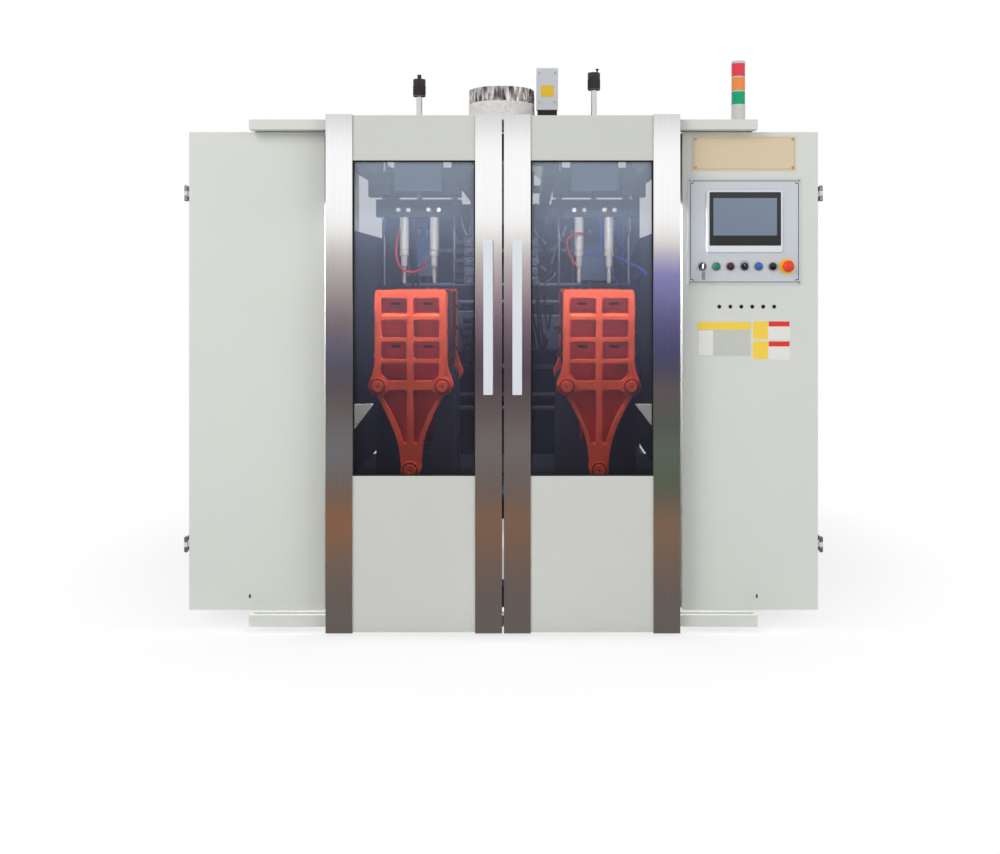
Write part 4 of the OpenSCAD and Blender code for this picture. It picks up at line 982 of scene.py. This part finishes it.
# %% Faces that pick a material by place
def dress_split(node, base, rules, width=0.001, drop=None):
    """A rounded copy whose faces take the first material whose test accepts their centre."""
    bm = clean_copy(node)
    if drop:
        bmesh.ops.delete(bm, geom=[f for f in bm.faces if drop(f.calc_center_median())],
                         context="FACES")
    piece = link_mesh("dressed_" + node, bm)
    finish_piece(piece, base, NODE_BODY[node])
    for material, _ in rules:
        piece.data.materials.append(material)
    for polygon in piece.data.polygons:
        for index, (_, test) in enumerate(rules, start=1):
            if test(polygon.center):
                polygon.material_index = index
                break
    bevel_modifier(piece, width)
    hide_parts(node)


PARTING_DEPTH = 0.575
PARTING_Y = FACE_Y + PARTING_DEPTH
HEAD_Z = 1.426
HEAD_TOP = HEAD_Z + 0.066
COLUMN_X, COLUMN_R = 0.135, 0.0135
ROD_R = 0.0125
BOLT_FACE_Y = PARTING_Y - 0.0305
COLLAR_H = 0.066
STUB_H = 0.018
KNURLS = 60
head_paint = painted("head_paint", linear(38, 42, 56), 0.5)
collar_knurl = plain("collar_knurl", linear(46, 38, 37), 0.5, 0.0, 900, 0.4)
STATION = {side: box_centre(f"{side}_blow_pins")[0] for side in SIDES}
collar_shape = [(0.0, 0.0), (0.0225, 0.0), (0.024, 0.0015), (0.024, 0.043), (0.0232, 0.0438),
                (0.0232, 0.0472), (0.024, 0.048), (0.024, 0.0645), (0.0225, COLLAR_H),
                (0.0, COLLAR_H)]
collar_rim = [(0.02, 0.0), (0.0236, 0.0), (0.0238, 0.004), (0.02, 0.004)]
stub = [(0.0, 0.0), (0.008, 0.0), (0.008, STUB_H - 0.001), (0.007, STUB_H), (0.0, STUB_H)]
thumb_screw = [(0.0, -0.002), (0.0035, -0.002), (0.003, 0.008), (0.0045, 0.0095),
               (0.0068, 0.0125), (0.0068, 0.0145), (0.0, 0.0145)]


def near(point, x, y, radius):
    return math.hypot(point.x - x, point.y - y) < radius


# %% Blow heads and stroke collars
for side, centre in STATION.items():
    head = f"{side}_blow_head"
    collar_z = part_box(head)[1].z - COLLAR_H - (STUB_H if side == "left" else 0)
    shiny = [
        (chrome, lambda p, c=centre: abs(abs(p.x - c) - COLUMN_X) < COLUMN_R
         and (p.z > HEAD_TOP + 0.001 or p.z < HEAD_Z - 0.001)),
        (chrome, lambda p, c=centre: near(p, c, PARTING_Y, ROD_R) and p.z > HEAD_TOP + 0.001),
        (bolt_bright, lambda p: p.y < BOLT_FACE_Y),
    ]
    dress_split(head, head_paint, shiny, drop=lambda p, z=collar_z: p.z > z - 0.0005)
    spun_piece(f"{side}_stroke_collar", collar_shape, [(centre, PARTING_Y, collar_z)],
               collar_brown, head)
    spun_piece(f"{side}_collar_rim", collar_rim, [(centre, PARTING_Y, collar_z + 0.0002)],
               machined, head)
    bm = bmesh.new()
    for k in range(KNURLS):
        knurl = turned((centre, PARTING_Y, collar_z + 0.0235), math.tau * k / KNURLS, "Z",
                       (0.0241, 0, 0), (0.0006, 0.0013, 0.036))
        bmesh.ops.create_cube(bm, size=1, matrix=knurl)
    make_piece(f"{side}_collar_knurls", bm, collar_knurl, head, smooth=False)
    collar_top = collar_z + COLLAR_H
    if side == "left":
        spun_piece("left_collar_stub", stub, [(centre, PARTING_Y, collar_top)],
                   collar_brown, head, steps=28)
    else:
        spun_piece("right_collar_screw", thumb_screw,
                   [(centre + 0.0125, PARTING_Y - 0.004, collar_top)],
                   black_matt, head, steps=24)

# %% [markdown]
# ## Hoses on the blow heads
# Red and blue air hoses run to the blow pins, and thin black ones hang beside them. They ride on
# the blow head that they are plugged into, so they move with the joint in every pose. Only the
# long blue one beside the right head is fixed to the machine. Points are written as (x, z) beside
# the station's centre, at one depth behind the doors' front.

# %% Hoses and fittings
def station_route(centre, depth, points):
    """Points given as (x, z) beside a station's centre, at one depth."""
    return [(centre + x, FACE_Y + depth, z) for x, z in points]


LEFT_X, RIGHT_X = STATION["left"], STATION["right"]
tube_piece("left_red_hose", [station_route(LEFT_X, 0.535, [
    (-0.070, 1.372), (-0.080, 1.335), (-0.084, 1.275), (-0.066, 1.232), (-0.035, 1.214),
    (0.003, 1.221), (0.024, 1.238), (0.034, 1.256)])],
    0.0044, hose_red, "left_blow_head")
tube_piece("right_red_hose", [station_route(RIGHT_X, 0.535, [
    (-0.040, 1.362), (-0.075, 1.360), (-0.100, 1.342), (-0.105, 1.318), (-0.098, 1.288),
    (-0.084, 1.260), (-0.068, 1.240)])],
    0.0044, hose_red, "right_blow_head")
tube_piece("left_blue_hoses", [
    station_route(LEFT_X, 0.61, [(0.028, 1.424), (0.021, 1.372), (0.006, 1.322), (-0.008, 1.262)]),
    station_route(LEFT_X, 0.60, [(0.046, 1.424), (0.042, 1.350), (0.020, 1.300), (0.0, 1.272)])],
    0.0032, hose_blue, "left_blow_head")
tube_piece("right_blue_hoses", [
    station_route(RIGHT_X, 0.61, [(0.026, 1.424), (0.030, 1.350), (0.020, 1.306), (-0.012, 1.272)]),
    station_route(RIGHT_X, 0.60, [(-0.060, 1.424), (-0.045, 1.300), (0.0, 1.280), (0.050, 1.276)])],
    0.0032, hose_blue, "right_blow_head")
tube_piece("right_long_hose", [station_route(0.0, 0.60, [
    (0.400, 1.285), (0.440, 1.266), (0.480, 1.248), (0.520, 1.226), (0.541, 1.20)])],
    0.0055, hose_blue, "root")
fitting = [(0.0, 0.0), (0.009, 0.0), (0.009, 0.012), (0.0065, 0.013), (0.0065, 0.024),
           (0.0, 0.024)]
AIR_X = 0.118
for side, centre in STATION.items():
    places = [(centre + x, PARTING_Y - 0.03, HEAD_Z + 0.05) for x in (-AIR_X, AIR_X)]
    spun_piece(f"{side}_air_fittings", fitting, places, black_matt, f"{side}_blow_head",
               "-y", 24)
    loops = [station_route(centre, 0.54, [(x, 1.450), (x * 1.12, 1.40), (x * 1.02, 1.335),
                                          (x * 0.78, 1.30)]) for x in (-AIR_X, AIR_X)]
    tube_piece(f"{side}_air_hoses", loops, 0.0035, rubber, f"{side}_blow_head")

# %% [markdown]
# ## Front castings
# The flat front of each ribbed platen is painted a darker orange than the cells behind it: painted
# shade, so its lit front reads no brighter than the shaded cells. Each tie bar ends in a turned cap
# in that darker orange, with a very dark ring as the painted shade of a groove, and a small black
# disc as the painted shadow of its centre hole.

# %% Platen fronts and tie-bar caps
BAR_SPREAD, BAR_HIGH_Z, BAR_LOW_Z = 0.115, 0.806, 0.509
cap_profile = [(0.0, 0.0), (0.0205, 0.0), (0.0205, 0.005), (0.0185, 0.007), (0.005, 0.007),
               (0.004, 0.006), (0.0, 0.006)]
cap_ring = [(0.0235, 0.0), (0.0275, 0.0), (0.0275, 0.0025), (0.0235, 0.0025), (0.0235, 0.0)]
# A black disc stands in for the shadow in the cap's centre hole: painted shade.
centre_hole = [(0.0, 0.0), (0.0032, 0.0), (0.0032, 0.0065), (0.0, 0.0065)]
for side, centre in STATION.items():
    platen_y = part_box(f"{side}_front_platen")[0].y
    # Faces near the platen's front take the darker orange: painted shade on its lit front.
    dress_split(f"{side}_front_platen", casting_orange,
                [(casting_front_shade, lambda p, y=platen_y: p.y < y + 0.022)], 0.0025)
    bar_face = platen_y + 0.0005
    places = [(centre - BAR_SPREAD, bar_face, BAR_HIGH_Z),
              (centre + BAR_SPREAD, bar_face, BAR_HIGH_Z), (centre, bar_face, BAR_LOW_Z)]
    for name, profile, material in (("caps", cap_profile, casting_front_shade),
                                    ("rings", cap_ring, casting_shade),
                                    ("centres", centre_hole, black_matt)):
        spun_piece(f"{side}_bar_{name}", profile, places, material,
                   NODE_BODY[f"{side}_tie_bars"], "-y", 32)

# %% [markdown]
# ## Clamps and moulds
# Cooling water nipples stand in rows on both sides of each mould, and four cap screws sit in its
# top. They are the parts that an operator touches at every mould change.

# %% Mould nipples and screws
nipple = [(0.0, 0.0), (0.009, 0.0), (0.009, 0.008), (0.0055, 0.009), (0.0055, 0.016),
          (0.0065, 0.017), (0.0055, 0.02), (0.0065, 0.021), (0.005, 0.026), (0.0, 0.026)]
for side in STATION:
    for end, body in (("front", "front_clamp"), ("rear", "rear_clamp")):
        low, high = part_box(f"{side}_{end}_mould")
        middle = (low.y + high.y) / 2
        rows = [(z, y) for z in (low.z + 0.06, low.z + 0.145, low.z + 0.23)
                for y in (middle - 0.03, middle + 0.03)]
        for place, axis, x in (("outer", "-x", low.x), ("inner", "+x", high.x)):
            spun_piece(f"{side}_{end}_{place}_nipples", nipple, [(x, y, z) for z, y in rows],
                       dull_brass, f"{side}_{body}", axis, 16)
        screws = [(x, y, high.z) for x in (low.x + 0.03, high.x - 0.03)
                  for y in (middle - 0.04, middle + 0.04)]
        bolt_heads(f"{side}_{end}_mould_screws", screws, 0.009, 0.007, "+z", black_matt,
                   f"{side}_{body}", sides=24)

# %% [markdown]
# ## Behind the windows
# The machine's inside is a dark thicket of valves, pipes and hoses. It's built from a few repeated
# kinds: air hoses that hang in curves, straight steel pipes, and valve islands with round coils.
# All of it stays above or behind the path of the two carriages. A fixed random seed keeps every
# run the same.

# %% Valve islands
dice = random.Random(7)


def valve_island(name, x, y, z, count, pitch=0.036):
    """A stack of valve blocks with coils and push-in fittings, facing the operator."""
    half, height, coil_z = 0.034, 0.031, 0.0155
    blocks_piece(f"{name}_blocks",
                 [((x - half, y, z + k * pitch), (x + half, y + 0.05, z + k * pitch + height))
                  for k in range(count)], frame_paint, "root", 0.0015)
    coil = [(0.0, 0.0), (0.012, 0.0), (0.012, 0.03), (0.0105, 0.032), (0.0, 0.032)]
    spun_piece(f"{name}_coils", coil,
               [(x - half, y + 0.024, z + k * pitch + coil_z) for k in range(count)],
               black_matt, "root", "-x", 20)
    plugs = [(x + dx, y, z + k * pitch + coil_z) for k in range(count) for dx in (-0.016, 0.014)
             if dice.random() < 0.6]
    plug = [(0.0, 0.0), (0.0065, 0.0), (0.0065, 0.011), (0.0052, 0.012), (0.0, 0.012)]
    spun_piece(f"{name}_fittings", plug, plugs, dice.choice([machined, dull_brass]), "root",
               "-y", 16)


ISLANDS = [("left_valves", -0.118, 0.40, 1.165, 5), ("right_valves", 0.085, 0.40, 1.165, 5),
           ("left_low_valves", -0.150, 1.345, 0.875, 4),
           ("right_low_valves", 0.072, 1.345, 0.875, 4)]
for name, x, depth, z, count in ISLANDS:
    valve_island(name, x, FACE_Y + depth, z, count)
CARRIAGE_CLEAR_Z = 1.16
POST = 0.02
mount_bars = [((x - POST, FACE_Y + 0.452, CARRIAGE_CLEAR_Z), (x + POST, FACE_Y + 0.464, 1.59))
              for x in (-0.112, 0.08)]
mount_bars += [((x - POST, FACE_Y + 1.397, 0.77), (x + POST, FACE_Y + 1.455, 1.03))
               for x in (-0.150, 0.072)]
blocks_piece("valve_posts", mount_bars, frame_paint, "root", 0.002)

# %% Air hoses and cables
def hanging(x0, y0, z0, x1, y1, z1, sag):
    """A hose between two points, hanging below its lower end by the sag."""
    low = min(z0, z1) - sag
    return [(x0, y0, z0), (x0 + (x1 - x0) * 0.12, y0 + (y1 - y0) * 0.1, (z0 + low) / 2),
            ((x0 + x1) / 2 + dice.uniform(-0.02, 0.02), (y0 + y1) / 2, low),
            (x1 - (x1 - x0) * 0.1, y1 - (y1 - y0) * 0.1, (z1 + low) / 2), (x1, y1, z1)]


IN_FRONT, BEHIND = (0.69, 0.95), (1.29, 1.38)


def hose_bundle(name, centre_x, material, count, radius, depths, lowest, inner):
    """Hoses from the header down, kept above or behind the path of the two carriages."""
    routes = []
    for k in range(count):
        x0 = centre_x + dice.uniform(-0.05, 0.05)
        x1 = centre_x + inner * dice.uniform(0.02, 0.12)
        z1 = lowest + dice.uniform(0.04, 0.3)
        sag = min(dice.uniform(0.02, 0.16), z1 - lowest)
        routes.append(hanging(x0, FACE_Y + dice.uniform(*depths), 1.5 - dice.uniform(0, 0.04),
                              x1, FACE_Y + dice.uniform(*depths), z1, sag))
    tube_piece(name, routes, radius, material, "root", sides=9)


hose_pale = plain("hose_pale", linear(150, 152, 156), 0.4)
HIGH = CARRIAGE_CLEAR_Z + 0.012
BUNDLES = [("left_black", -0.14, rubber, 5, 0.005, BEHIND, 0.82, -1),
           ("right_black", 0.10, rubber, 5, 0.005, BEHIND, 0.82, 1),
           ("left_high", -0.13, rubber, 4, 0.005, IN_FRONT, HIGH, -1),
           ("right_high", 0.10, rubber, 4, 0.005, IN_FRONT, HIGH, 1),
           ("left_pale", -0.12, hose_pale, 3, 0.0045, IN_FRONT, HIGH, -1),
           ("right_pale", 0.12, hose_pale, 4, 0.0045, IN_FRONT, HIGH, 1),
           ("left_outer", -0.47, rubber, 4, 0.006, BEHIND, 1.0, 1),
           ("right_outer", 0.43, hose_blue, 3, 0.004, IN_FRONT, HIGH, 1)]
for name, *rest in BUNDLES:
    hose_bundle(f"{name}_hoses", *rest)

# %% Pipes and boxes at the back wall
PIPE_Y, LEVEL_Y, BOX_BACK_Y = FACE_Y + 1.49, FACE_Y + 1.466, FACE_Y + 1.51
upright = [[(x, PIPE_Y, z) for z in (0.5, 1.0, 1.42)]
           for x in (-0.43, -0.39, -0.35, 0.29, 0.33, 0.37)]
tube_piece("back_pipes", upright, 0.009, machined, "root")
level = [[(x, LEVEL_Y, z) for x in (-0.5, 0, 0.5)] for z in (0.78, 1.08, 1.16, 1.32)]
tube_piece("back_level_pipes", level, 0.011, blue_grey_paint, "root")
boxes = [((-0.33, FACE_Y + 1.40, 0.86), (-0.13, BOX_BACK_Y, 1.04)),
         ((0.09, FACE_Y + 1.42, 0.86), (0.33, BOX_BACK_Y, 1.02)),
         ((-0.48, FACE_Y + 1.44, 1.2), (-0.34, BOX_BACK_Y, 1.38)),
         ((0.32, FACE_Y + 1.44, 1.18), (0.48, BOX_BACK_Y, 1.4))]
blocks_piece("back_boxes", boxes, blue_grey_paint, "root", 0.004)

# %% Gussets at the posts
GUSSET_TOP, GUSSET_FOOT = 0.749, 0.655
for side, sign in (("left", -1), ("right", 1)):
    bm = bmesh.new()
    corners = [(0.530, GUSSET_TOP), (0.458, GUSSET_TOP), (0.530, GUSSET_FOOT)]
    front, back = ([bm.verts.new((sign * x, FACE_Y + depth, z)) for x, z in corners]
                   for depth in (0.2, 0.206))
    bm.faces.new(front)
    bm.faces.new(list(reversed(back)))
    for k in range(3):
        j = (k + 1) % 3
        bm.faces.new((front[k], front[j], back[j], back[k]))
    bmesh.ops.recalc_face_normals(bm, faces=bm.faces)
    make_piece(f"{side}_post_gusset", bm, cabinet_paint, "root", 0.001)

# %% [markdown]
# ## The terminal box and the rails' ends
# The terminal box has a lid with four screws, a cable gland and a small plain yellow plate. Cap
# screws close the rails' ends.

# %% Terminal box
BOX_SHADED_UNDERSIDE_Z = 1.849
box_low, box_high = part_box("terminal_box")
LID_T = 0.0015
LID_Y = box_low.y - LID_T
# The faces below this height, on the box's underside, are painted black: painted shade.
dress_split("terminal_box", box_grey, [(black_matt, lambda p: p.z < BOX_SHADED_UNDERSIDE_Z - 0.001)], 0.002)
blocks_piece("terminal_box_lid", [((box_low.x + 0.0005, LID_Y, 1.838),
                                   (box_high.x - 0.0005, LID_Y + LID_T, box_high.z - 0.0005))],
             box_grey, "root", bevel=0.0005)
blocks_piece("terminal_box_plate", [((0.132, LID_Y - 0.0008, 1.888), (0.181, LID_Y, 1.932))],
             yellow_plastic, "root", bevel=0.0003)
bolt_heads("terminal_box_screws", [(x, LID_Y, z) for x in (0.127, 0.186)
                                   for z in (1.867, 1.9795)],
           0.0035, 0.002, "-y", machined, "root", sides=18)
gland = [(0.0, 0.0), (0.013, 0.0), (0.013, 0.008), (0.0155, 0.008), (0.0155, 0.016),
         (0.011, 0.02), (0.011, 0.026), (0.0, 0.026)]
GLAND_X, GLAND_Y = 0.15, FACE_Y + 0.592
spun_piece("terminal_box_gland", gland, [(GLAND_X, GLAND_Y, 1.8195)], black_matt, "root",
           "-z", 24)
tube_piece("terminal_box_cable",
           [[(GLAND_X, GLAND_Y, 1.80), (GLAND_X, GLAND_Y, 1.785),
             (0.128, FACE_Y + 0.56, 1.74), (0.11, FACE_Y + 0.53, 1.67)]],
           0.008, rubber, "root")

# %% Rail screws
for node in ("top_rail", "bottom_rail"):
    low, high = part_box(node)
    z = low.z + 0.017 if node == "top_rail" else high.z - 0.02
    for end, x, axis in (("left", low.x, "-x"), ("right", high.x, "+x")):
        bolt_heads(f"{node}_{end}_screw", [(x, FACE_Y + 0.0615, z)], 0.007, 0.004, axis,
                   black_matt, "root", sides=20)

# %% [markdown]
# ## Hinges
# Each hinge leaf is screwed to the side of its cabinet by four screws.

# %% Hinge screws
HINGE_LEAF_X = 1.0785
for side, sign in (("left", -1), ("right", 1)):
    screws = [(sign * HINGE_LEAF_X, FACE_Y + depth, z + dz) for z in (0.258, 1.454)
              for dz in (0.008, 0.0425) for depth in (0.13, 0.148)]
    bolt_heads(f"{side}_hinge_screws", screws, 0.0028, 0.0015, "+x" if sign > 0 else "-x",
               machined, "root", sides=14)

# %% [markdown]
# ## Strips in three sets of painted reflections
# The strips mirror a hall that is different beside each door. It is painted into their steel's
# colour as three sets of painted reflections, and each face takes its set by its place across the
# machine.

# %% Door strips
OUTER_X = 0.3
for side, outer in zip(SIDES, (left_strip, right_strip)):
    dress_split(f"{side}_door_strips", inner_strips,
                [(outer, lambda p: abs(p.x) > OUTER_X)], SHEET_EDGE)

# %% [markdown]
# ## The extruder's drive
# The motor is a ribbed casting with a wire grille on its fan cover, the heater bands are closed by
# clamp screws with a lead each, and the gearbox has a lid with bolts and an oil glass.

# %% Motor fins and fan cover
EXTRUDER_X = -0.02
MOTOR_Z = 1.8
FINS = 28
motor_centre_y = box_centre("extruder_motor")[1]
motor_end = (EXTRUDER_X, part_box("extruder_motor")[1].y, MOTOR_Z)


def fins_piece(name, centre, axis, sign, reach, size, gap_at, gap):
    """Cooling fins round a motor, left out where its box or foot sits."""
    bm = bmesh.new()
    for k in range(FINS):
        angle = math.tau * k / FINS
        if abs(angle - gap_at) < gap:
            continue
        matrix = turned(centre, sign * angle, axis, reach, size)
        bmesh.ops.create_cube(bm, size=1, matrix=matrix)
    make_piece(name, bm, blue_grey_paint, "root", 0.0008)


fins_piece("motor_fins", (EXTRUDER_X, motor_centre_y - 0.012, MOTOR_Z), "Y", -1, (0.1245, 0, 0),
           (0.013, 0.34, 0.0035), math.pi / 2, 0.62)
bm = bmesh.new()
for k in range(5):
    spin_profile(bm, ring_profile(0.03 + 0.017 * k, 0.0028), motor_end, "+y", 40)
for k in range(8):
    spoke = turned((EXTRUDER_X, motor_end[1] + 0.0005, MOTOR_Z), math.tau * k / 8, "Y",
                   (0.055, 0, 0), (0.09, 0.004, 0.004))
    bmesh.ops.create_cube(bm, size=1, matrix=spoke)
make_piece("fan_grille", bm, black_matt, "root")

# %% Gearbox and heater bands
gear_low, gear_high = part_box("gearbox")
bolts = [(x, y, gear_high.z) for x in (-0.135, -0.02, 0.095)
         for y in (gear_low.y + 0.02, gear_high.y - 0.02)]
bolt_heads("gearbox_bolts", bolts, 0.009, 0.008, "+z", machined, "root")
glass = [(0.0, 0.0), (0.018, 0.0), (0.018, 0.005), (0.013, 0.007), (0.0, 0.007)]
spun_piece("oil_glass", glass, [(0.11, box_centre("gearbox")[1], 1.74)], brass, "root",
           "+x", 28)
band_low, band_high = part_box("heater_bands")
BANDS, BAND_PITCH = 7, 0.126
BAND_TOP = band_high.z
LUG_IN, LUG_OUT = 0.006, 0.018
straps, screws, leads = [], [], []
for k in range(BANDS):
    y0 = band_low.y + k * BAND_PITCH
    for dy in (0.012, 0.088):
        for x0, x1 in ((-LUG_OUT, -LUG_IN), (LUG_IN, LUG_OUT)):
            straps.append(((EXTRUDER_X + x0, y0 + dy, BAND_TOP - 0.002),
                           (EXTRUDER_X + x1, y0 + dy + 0.01, BAND_TOP + 0.012)))
        screws.append((EXTRUDER_X + LUG_OUT, y0 + dy + 0.005, BAND_TOP + 0.006))
    leads.append([(EXTRUDER_X + 0.05, y0 + 0.055, BAND_TOP - 0.022),
                  (EXTRUDER_X + 0.085, y0 + 0.06, BAND_TOP - 0.01),
                  (EXTRUDER_X + 0.13, y0 + 0.05, 1.70), (0.16, y0 + 0.03, 1.652)])
blocks_piece("heater_lugs", straps, heater_metal, "root", 0.001)
bolt_heads("heater_screws", screws, 0.004, 0.005, "+x", machined, "root")
tube_piece("heater_leads", leads, 0.004, nylon, "root", sides=9)
cable = [(0.165, band_low.y - 0.03, 1.649), (0.162, band_low.y + 0.3, 1.649),
         (0.167, band_low.y + 0.7, 1.65), (0.16, band_high.y, 1.649)]
tube_piece("heater_trunk", [cable], 0.009, rubber, "root")

# %% [markdown]
# ## The power pack
# The oil tank carries two caps and a level glass. The pump motor lies on it with fins like the
# extruder's. One steel pipe leads forward to the back wall, and one down to the tank.

# %% Tank and pump
tank_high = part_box("power_pack")[1]
PUMP_Y = FACE_Y + 1.95
cap = [(0.0, 0.0), (0.045, 0.0), (0.045, 0.008), (0.034, 0.012), (0.034, 0.04), (0.03, 0.046),
       (0.0, 0.046)]
spun_piece("tank_caps", cap, [(0.31, FACE_Y + depth, tank_high.z) for depth in (1.75, 2.15)],
           black_matt, "root", steps=36)
blocks_piece("tank_level_glass",
             [((0.20, tank_high.y - 0.118, 0.40), (0.235, tank_high.y - 0.1108, 0.56))],
             nylon, "root", 0.003)
fins_piece("pump_fins", (-0.11, PUMP_Y, 0.8), "X", 1, (0, 0.1245, 0), (0.30, 0.013, 0.0035),
           math.pi * 1.5, 0.75)
pressure = [[(0.14, PUMP_Y, 0.88), (0.14, PUMP_Y, 1.0), (0.14, PUMP_Y - 0.1, 1.06),
             (0.14, PUMP_Y - 0.3, 1.07), (0.14, FACE_Y + 1.53, 1.07)],
            [(0.17, PUMP_Y - 0.07, 0.8), (0.24, PUMP_Y - 0.1, 0.8), (0.27, PUMP_Y - 0.13, 0.74),
             (0.27, PUMP_Y - 0.13, 0.62)]]
tube_piece("pressure_pipes", pressure, 0.014, machined, "root", sides=16)
bolts = [(x, PUMP_Y + dy, 0.64) for x in (-0.28, 0.18) for dy in (-0.135, 0.135)]
bolt_heads("pump_plate_bolts", bolts, 0.009, 0.008, "+z", machined, "root")

# %% [markdown]
# ## Ports of the clamp cylinders
# Each clamp cylinder has two brass ports on top. They ride on the front clamp, as the tie bars do.

# %% Cylinder ports
PORT_X, PORT_Z = 0.34, 0.759
for side, x in zip(SIDES, (-PORT_X, PORT_X)):
    bar_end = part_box(f"{side}_tie_bars")[1].y
    ports = [(x, bar_end - depth, PORT_Z) for depth in (0.05, 0.22)]
    spun_piece(f"{side}_cylinder_ports", fitting, ports, brass, f"{side}_front_clamp",
               "+z", 24)

# %% [markdown]
# ## Floor and light
# The photograph has a white ground, while the steel mirrors a hall: bright above, dark below. Light
# Path nodes give each kind of ray its own answer. The camera sees white, glossy rays see a hall
# with a dark floor, a bright wall and a ceiling, and everything else gets an even soft light.

# %% Floor
floor_bm = bmesh.new()
bmesh.ops.create_grid(floor_bm, x_segments=1, y_segments=1, size=30)
floor = link_mesh("floor", floor_bm, smooth=False)
floor_material, tree, shader, place = start_material("floor_white")
shader.inputs["Base Color"].default_value = (0.8, 0.8, 0.8, 1)
shader.inputs["Roughness"].default_value = 0.9
rays = tree.nodes.new("ShaderNodeLightPath")
white = tree.nodes.new("ShaderNodeEmission")
white.inputs["Color"].default_value = (1, 1, 1, 1)
reach = tree.nodes.new("ShaderNodeVectorMath")
reach.operation = "LENGTH"
tree.links.new(place, reach.inputs[0])
FADE_START, FADE_END, LEAST_WHITE = 0.6, 1.9, 0.45
fade = remap(tree, reach.outputs["Value"], (FADE_START, FADE_END), (LEAST_WHITE, 1))
HALL = [(0.0, (0.12, 0.11, 0.10)), (0.365, (0.17, 0.145, 0.13)), (0.392, (0.30, 0.17, 0.10)),
        (0.406, (0.18, 0.165, 0.145)), (0.424, (0.24, 0.23, 0.22)), (0.445, (0.15, 0.125, 0.125)),
        (0.460, (0.10, 0.085, 0.11)), (0.482, (0.24, 0.185, 0.215)), (0.500, (0.52, 0.46, 0.46)),
        (0.514, (0.72, 0.68, 0.65)), (0.524, (1.30, 1.30, 1.30)), (0.562, (1.34, 1.34, 1.34)),
        (0.576, (0.80, 0.80, 0.80)), (0.66, (1.2, 1.2, 1.2)), (0.76, (0.30, 0.30, 0.32)),
        (1.0, (0.7, 0.7, 0.74))]


def hall_colour(tree, vector, sign):
    """The hall's colour in a ray's direction, from dark ground over a bright wall to a ceiling."""
    return ramp(tree, height_factor(tree, vector, -sign, sign), HALL)


def mix_shaders(tree, factor, off, on):
    """One shader or the other, by a factor."""
    node = tree.nodes.new("ShaderNodeMixShader")
    tree.links.new(factor, node.inputs["Fac"])
    tree.links.new(off, node.inputs[1])
    tree.links.new(on, node.inputs[2])
    return node.outputs["Shader"]


dark = tree.nodes.new("ShaderNodeEmission")
incoming = tree.nodes.new("ShaderNodeNewGeometry")
tree.links.new(hall_colour(tree, incoming.outputs["Incoming"], -1.0), dark.inputs["Color"])
surface = shader.outputs["BSDF"]
mirrored = mix_shaders(tree, rays.outputs["Is Glossy Ray"], surface, dark.outputs["Emission"])
toward_white = mix_shaders(tree, fade, surface, white.outputs["Emission"])
chosen = mix_shaders(tree, rays.outputs["Is Camera Ray"], mirrored, toward_white)
tree.links.new(chosen, tree.nodes["Material Output"].inputs["Surface"])
floor.data.materials.append(floor_material)

# %% World
world = bpy.data.worlds.new("studio")
bpy.context.scene.world = world
world.use_nodes = True
world_tree = world.node_tree
background = world_tree.nodes["Background"]
rays = world_tree.nodes.new("ShaderNodeLightPath")
direction = world_tree.nodes.new("ShaderNodeTexCoord")
hall = hall_colour(world_tree, direction.outputs["Generated"], 1.0)
SOFT_LIGHT = (0.52, 0.53, 0.54, 1)
seen = mix_colours(world_tree, rays.outputs["Is Glossy Ray"], SOFT_LIGHT, hall)
seen = mix_colours(world_tree, rays.outputs["Is Camera Ray"], seen, (1, 1, 1, 1))
world_tree.links.new(seen, background.inputs["Color"])
background.inputs["Strength"].default_value = 1.0


# %% [markdown]
# ## Lamps
# A large key from the upper left, a fill from the right and a soft top light. Two small lamps hang
# behind the door headers, so the castings glow brighter at their top, and one lights the back wall.

# %% Lamps
def lamp(name, place, aim, size, power):
    light = bpy.data.lights.new(name, "AREA")
    light.shape = "RECTANGLE"
    light.size, light.size_y = size
    light.energy = power
    lamp_object = bpy.data.objects.new(name, light)
    lamp_object.location = place
    direction = Vector(aim) - Vector(place)
    lamp_object.rotation_euler = direction.to_track_quat("-Z", "Y").to_euler()
    lamp_object.visible_camera = False
    lamp_object.visible_glossy = False
    bpy.context.scene.collection.objects.link(lamp_object)


lamp("key_light", (-3.5, -5.5, 4.2), (0, 0, 1.0), (3.0, 3.0), 150)
lamp("fill_light", (4.0, -5.0, 2.5), (0, 0, 1.0), (3.0, 3.0), 65)
lamp("top_light", (0, 0.4, 4.5), (0, 0, 0.8), (3.5, 3.5), 60)
for side, x in STATION.items():
    lamp(f"{side}_work_light", (x, FACE_Y + 0.09, 1.45), (x, FACE_Y + 0.30, 0.90), (0.36, 0.05), 11)
lamp("inner_light", (0, FACE_Y + 1.30, 1.44), (0, FACE_Y + 0.9, 0.7), (0.9, 0.10), 8)
bpy.context.scene.view_settings.view_transform = "Standard"
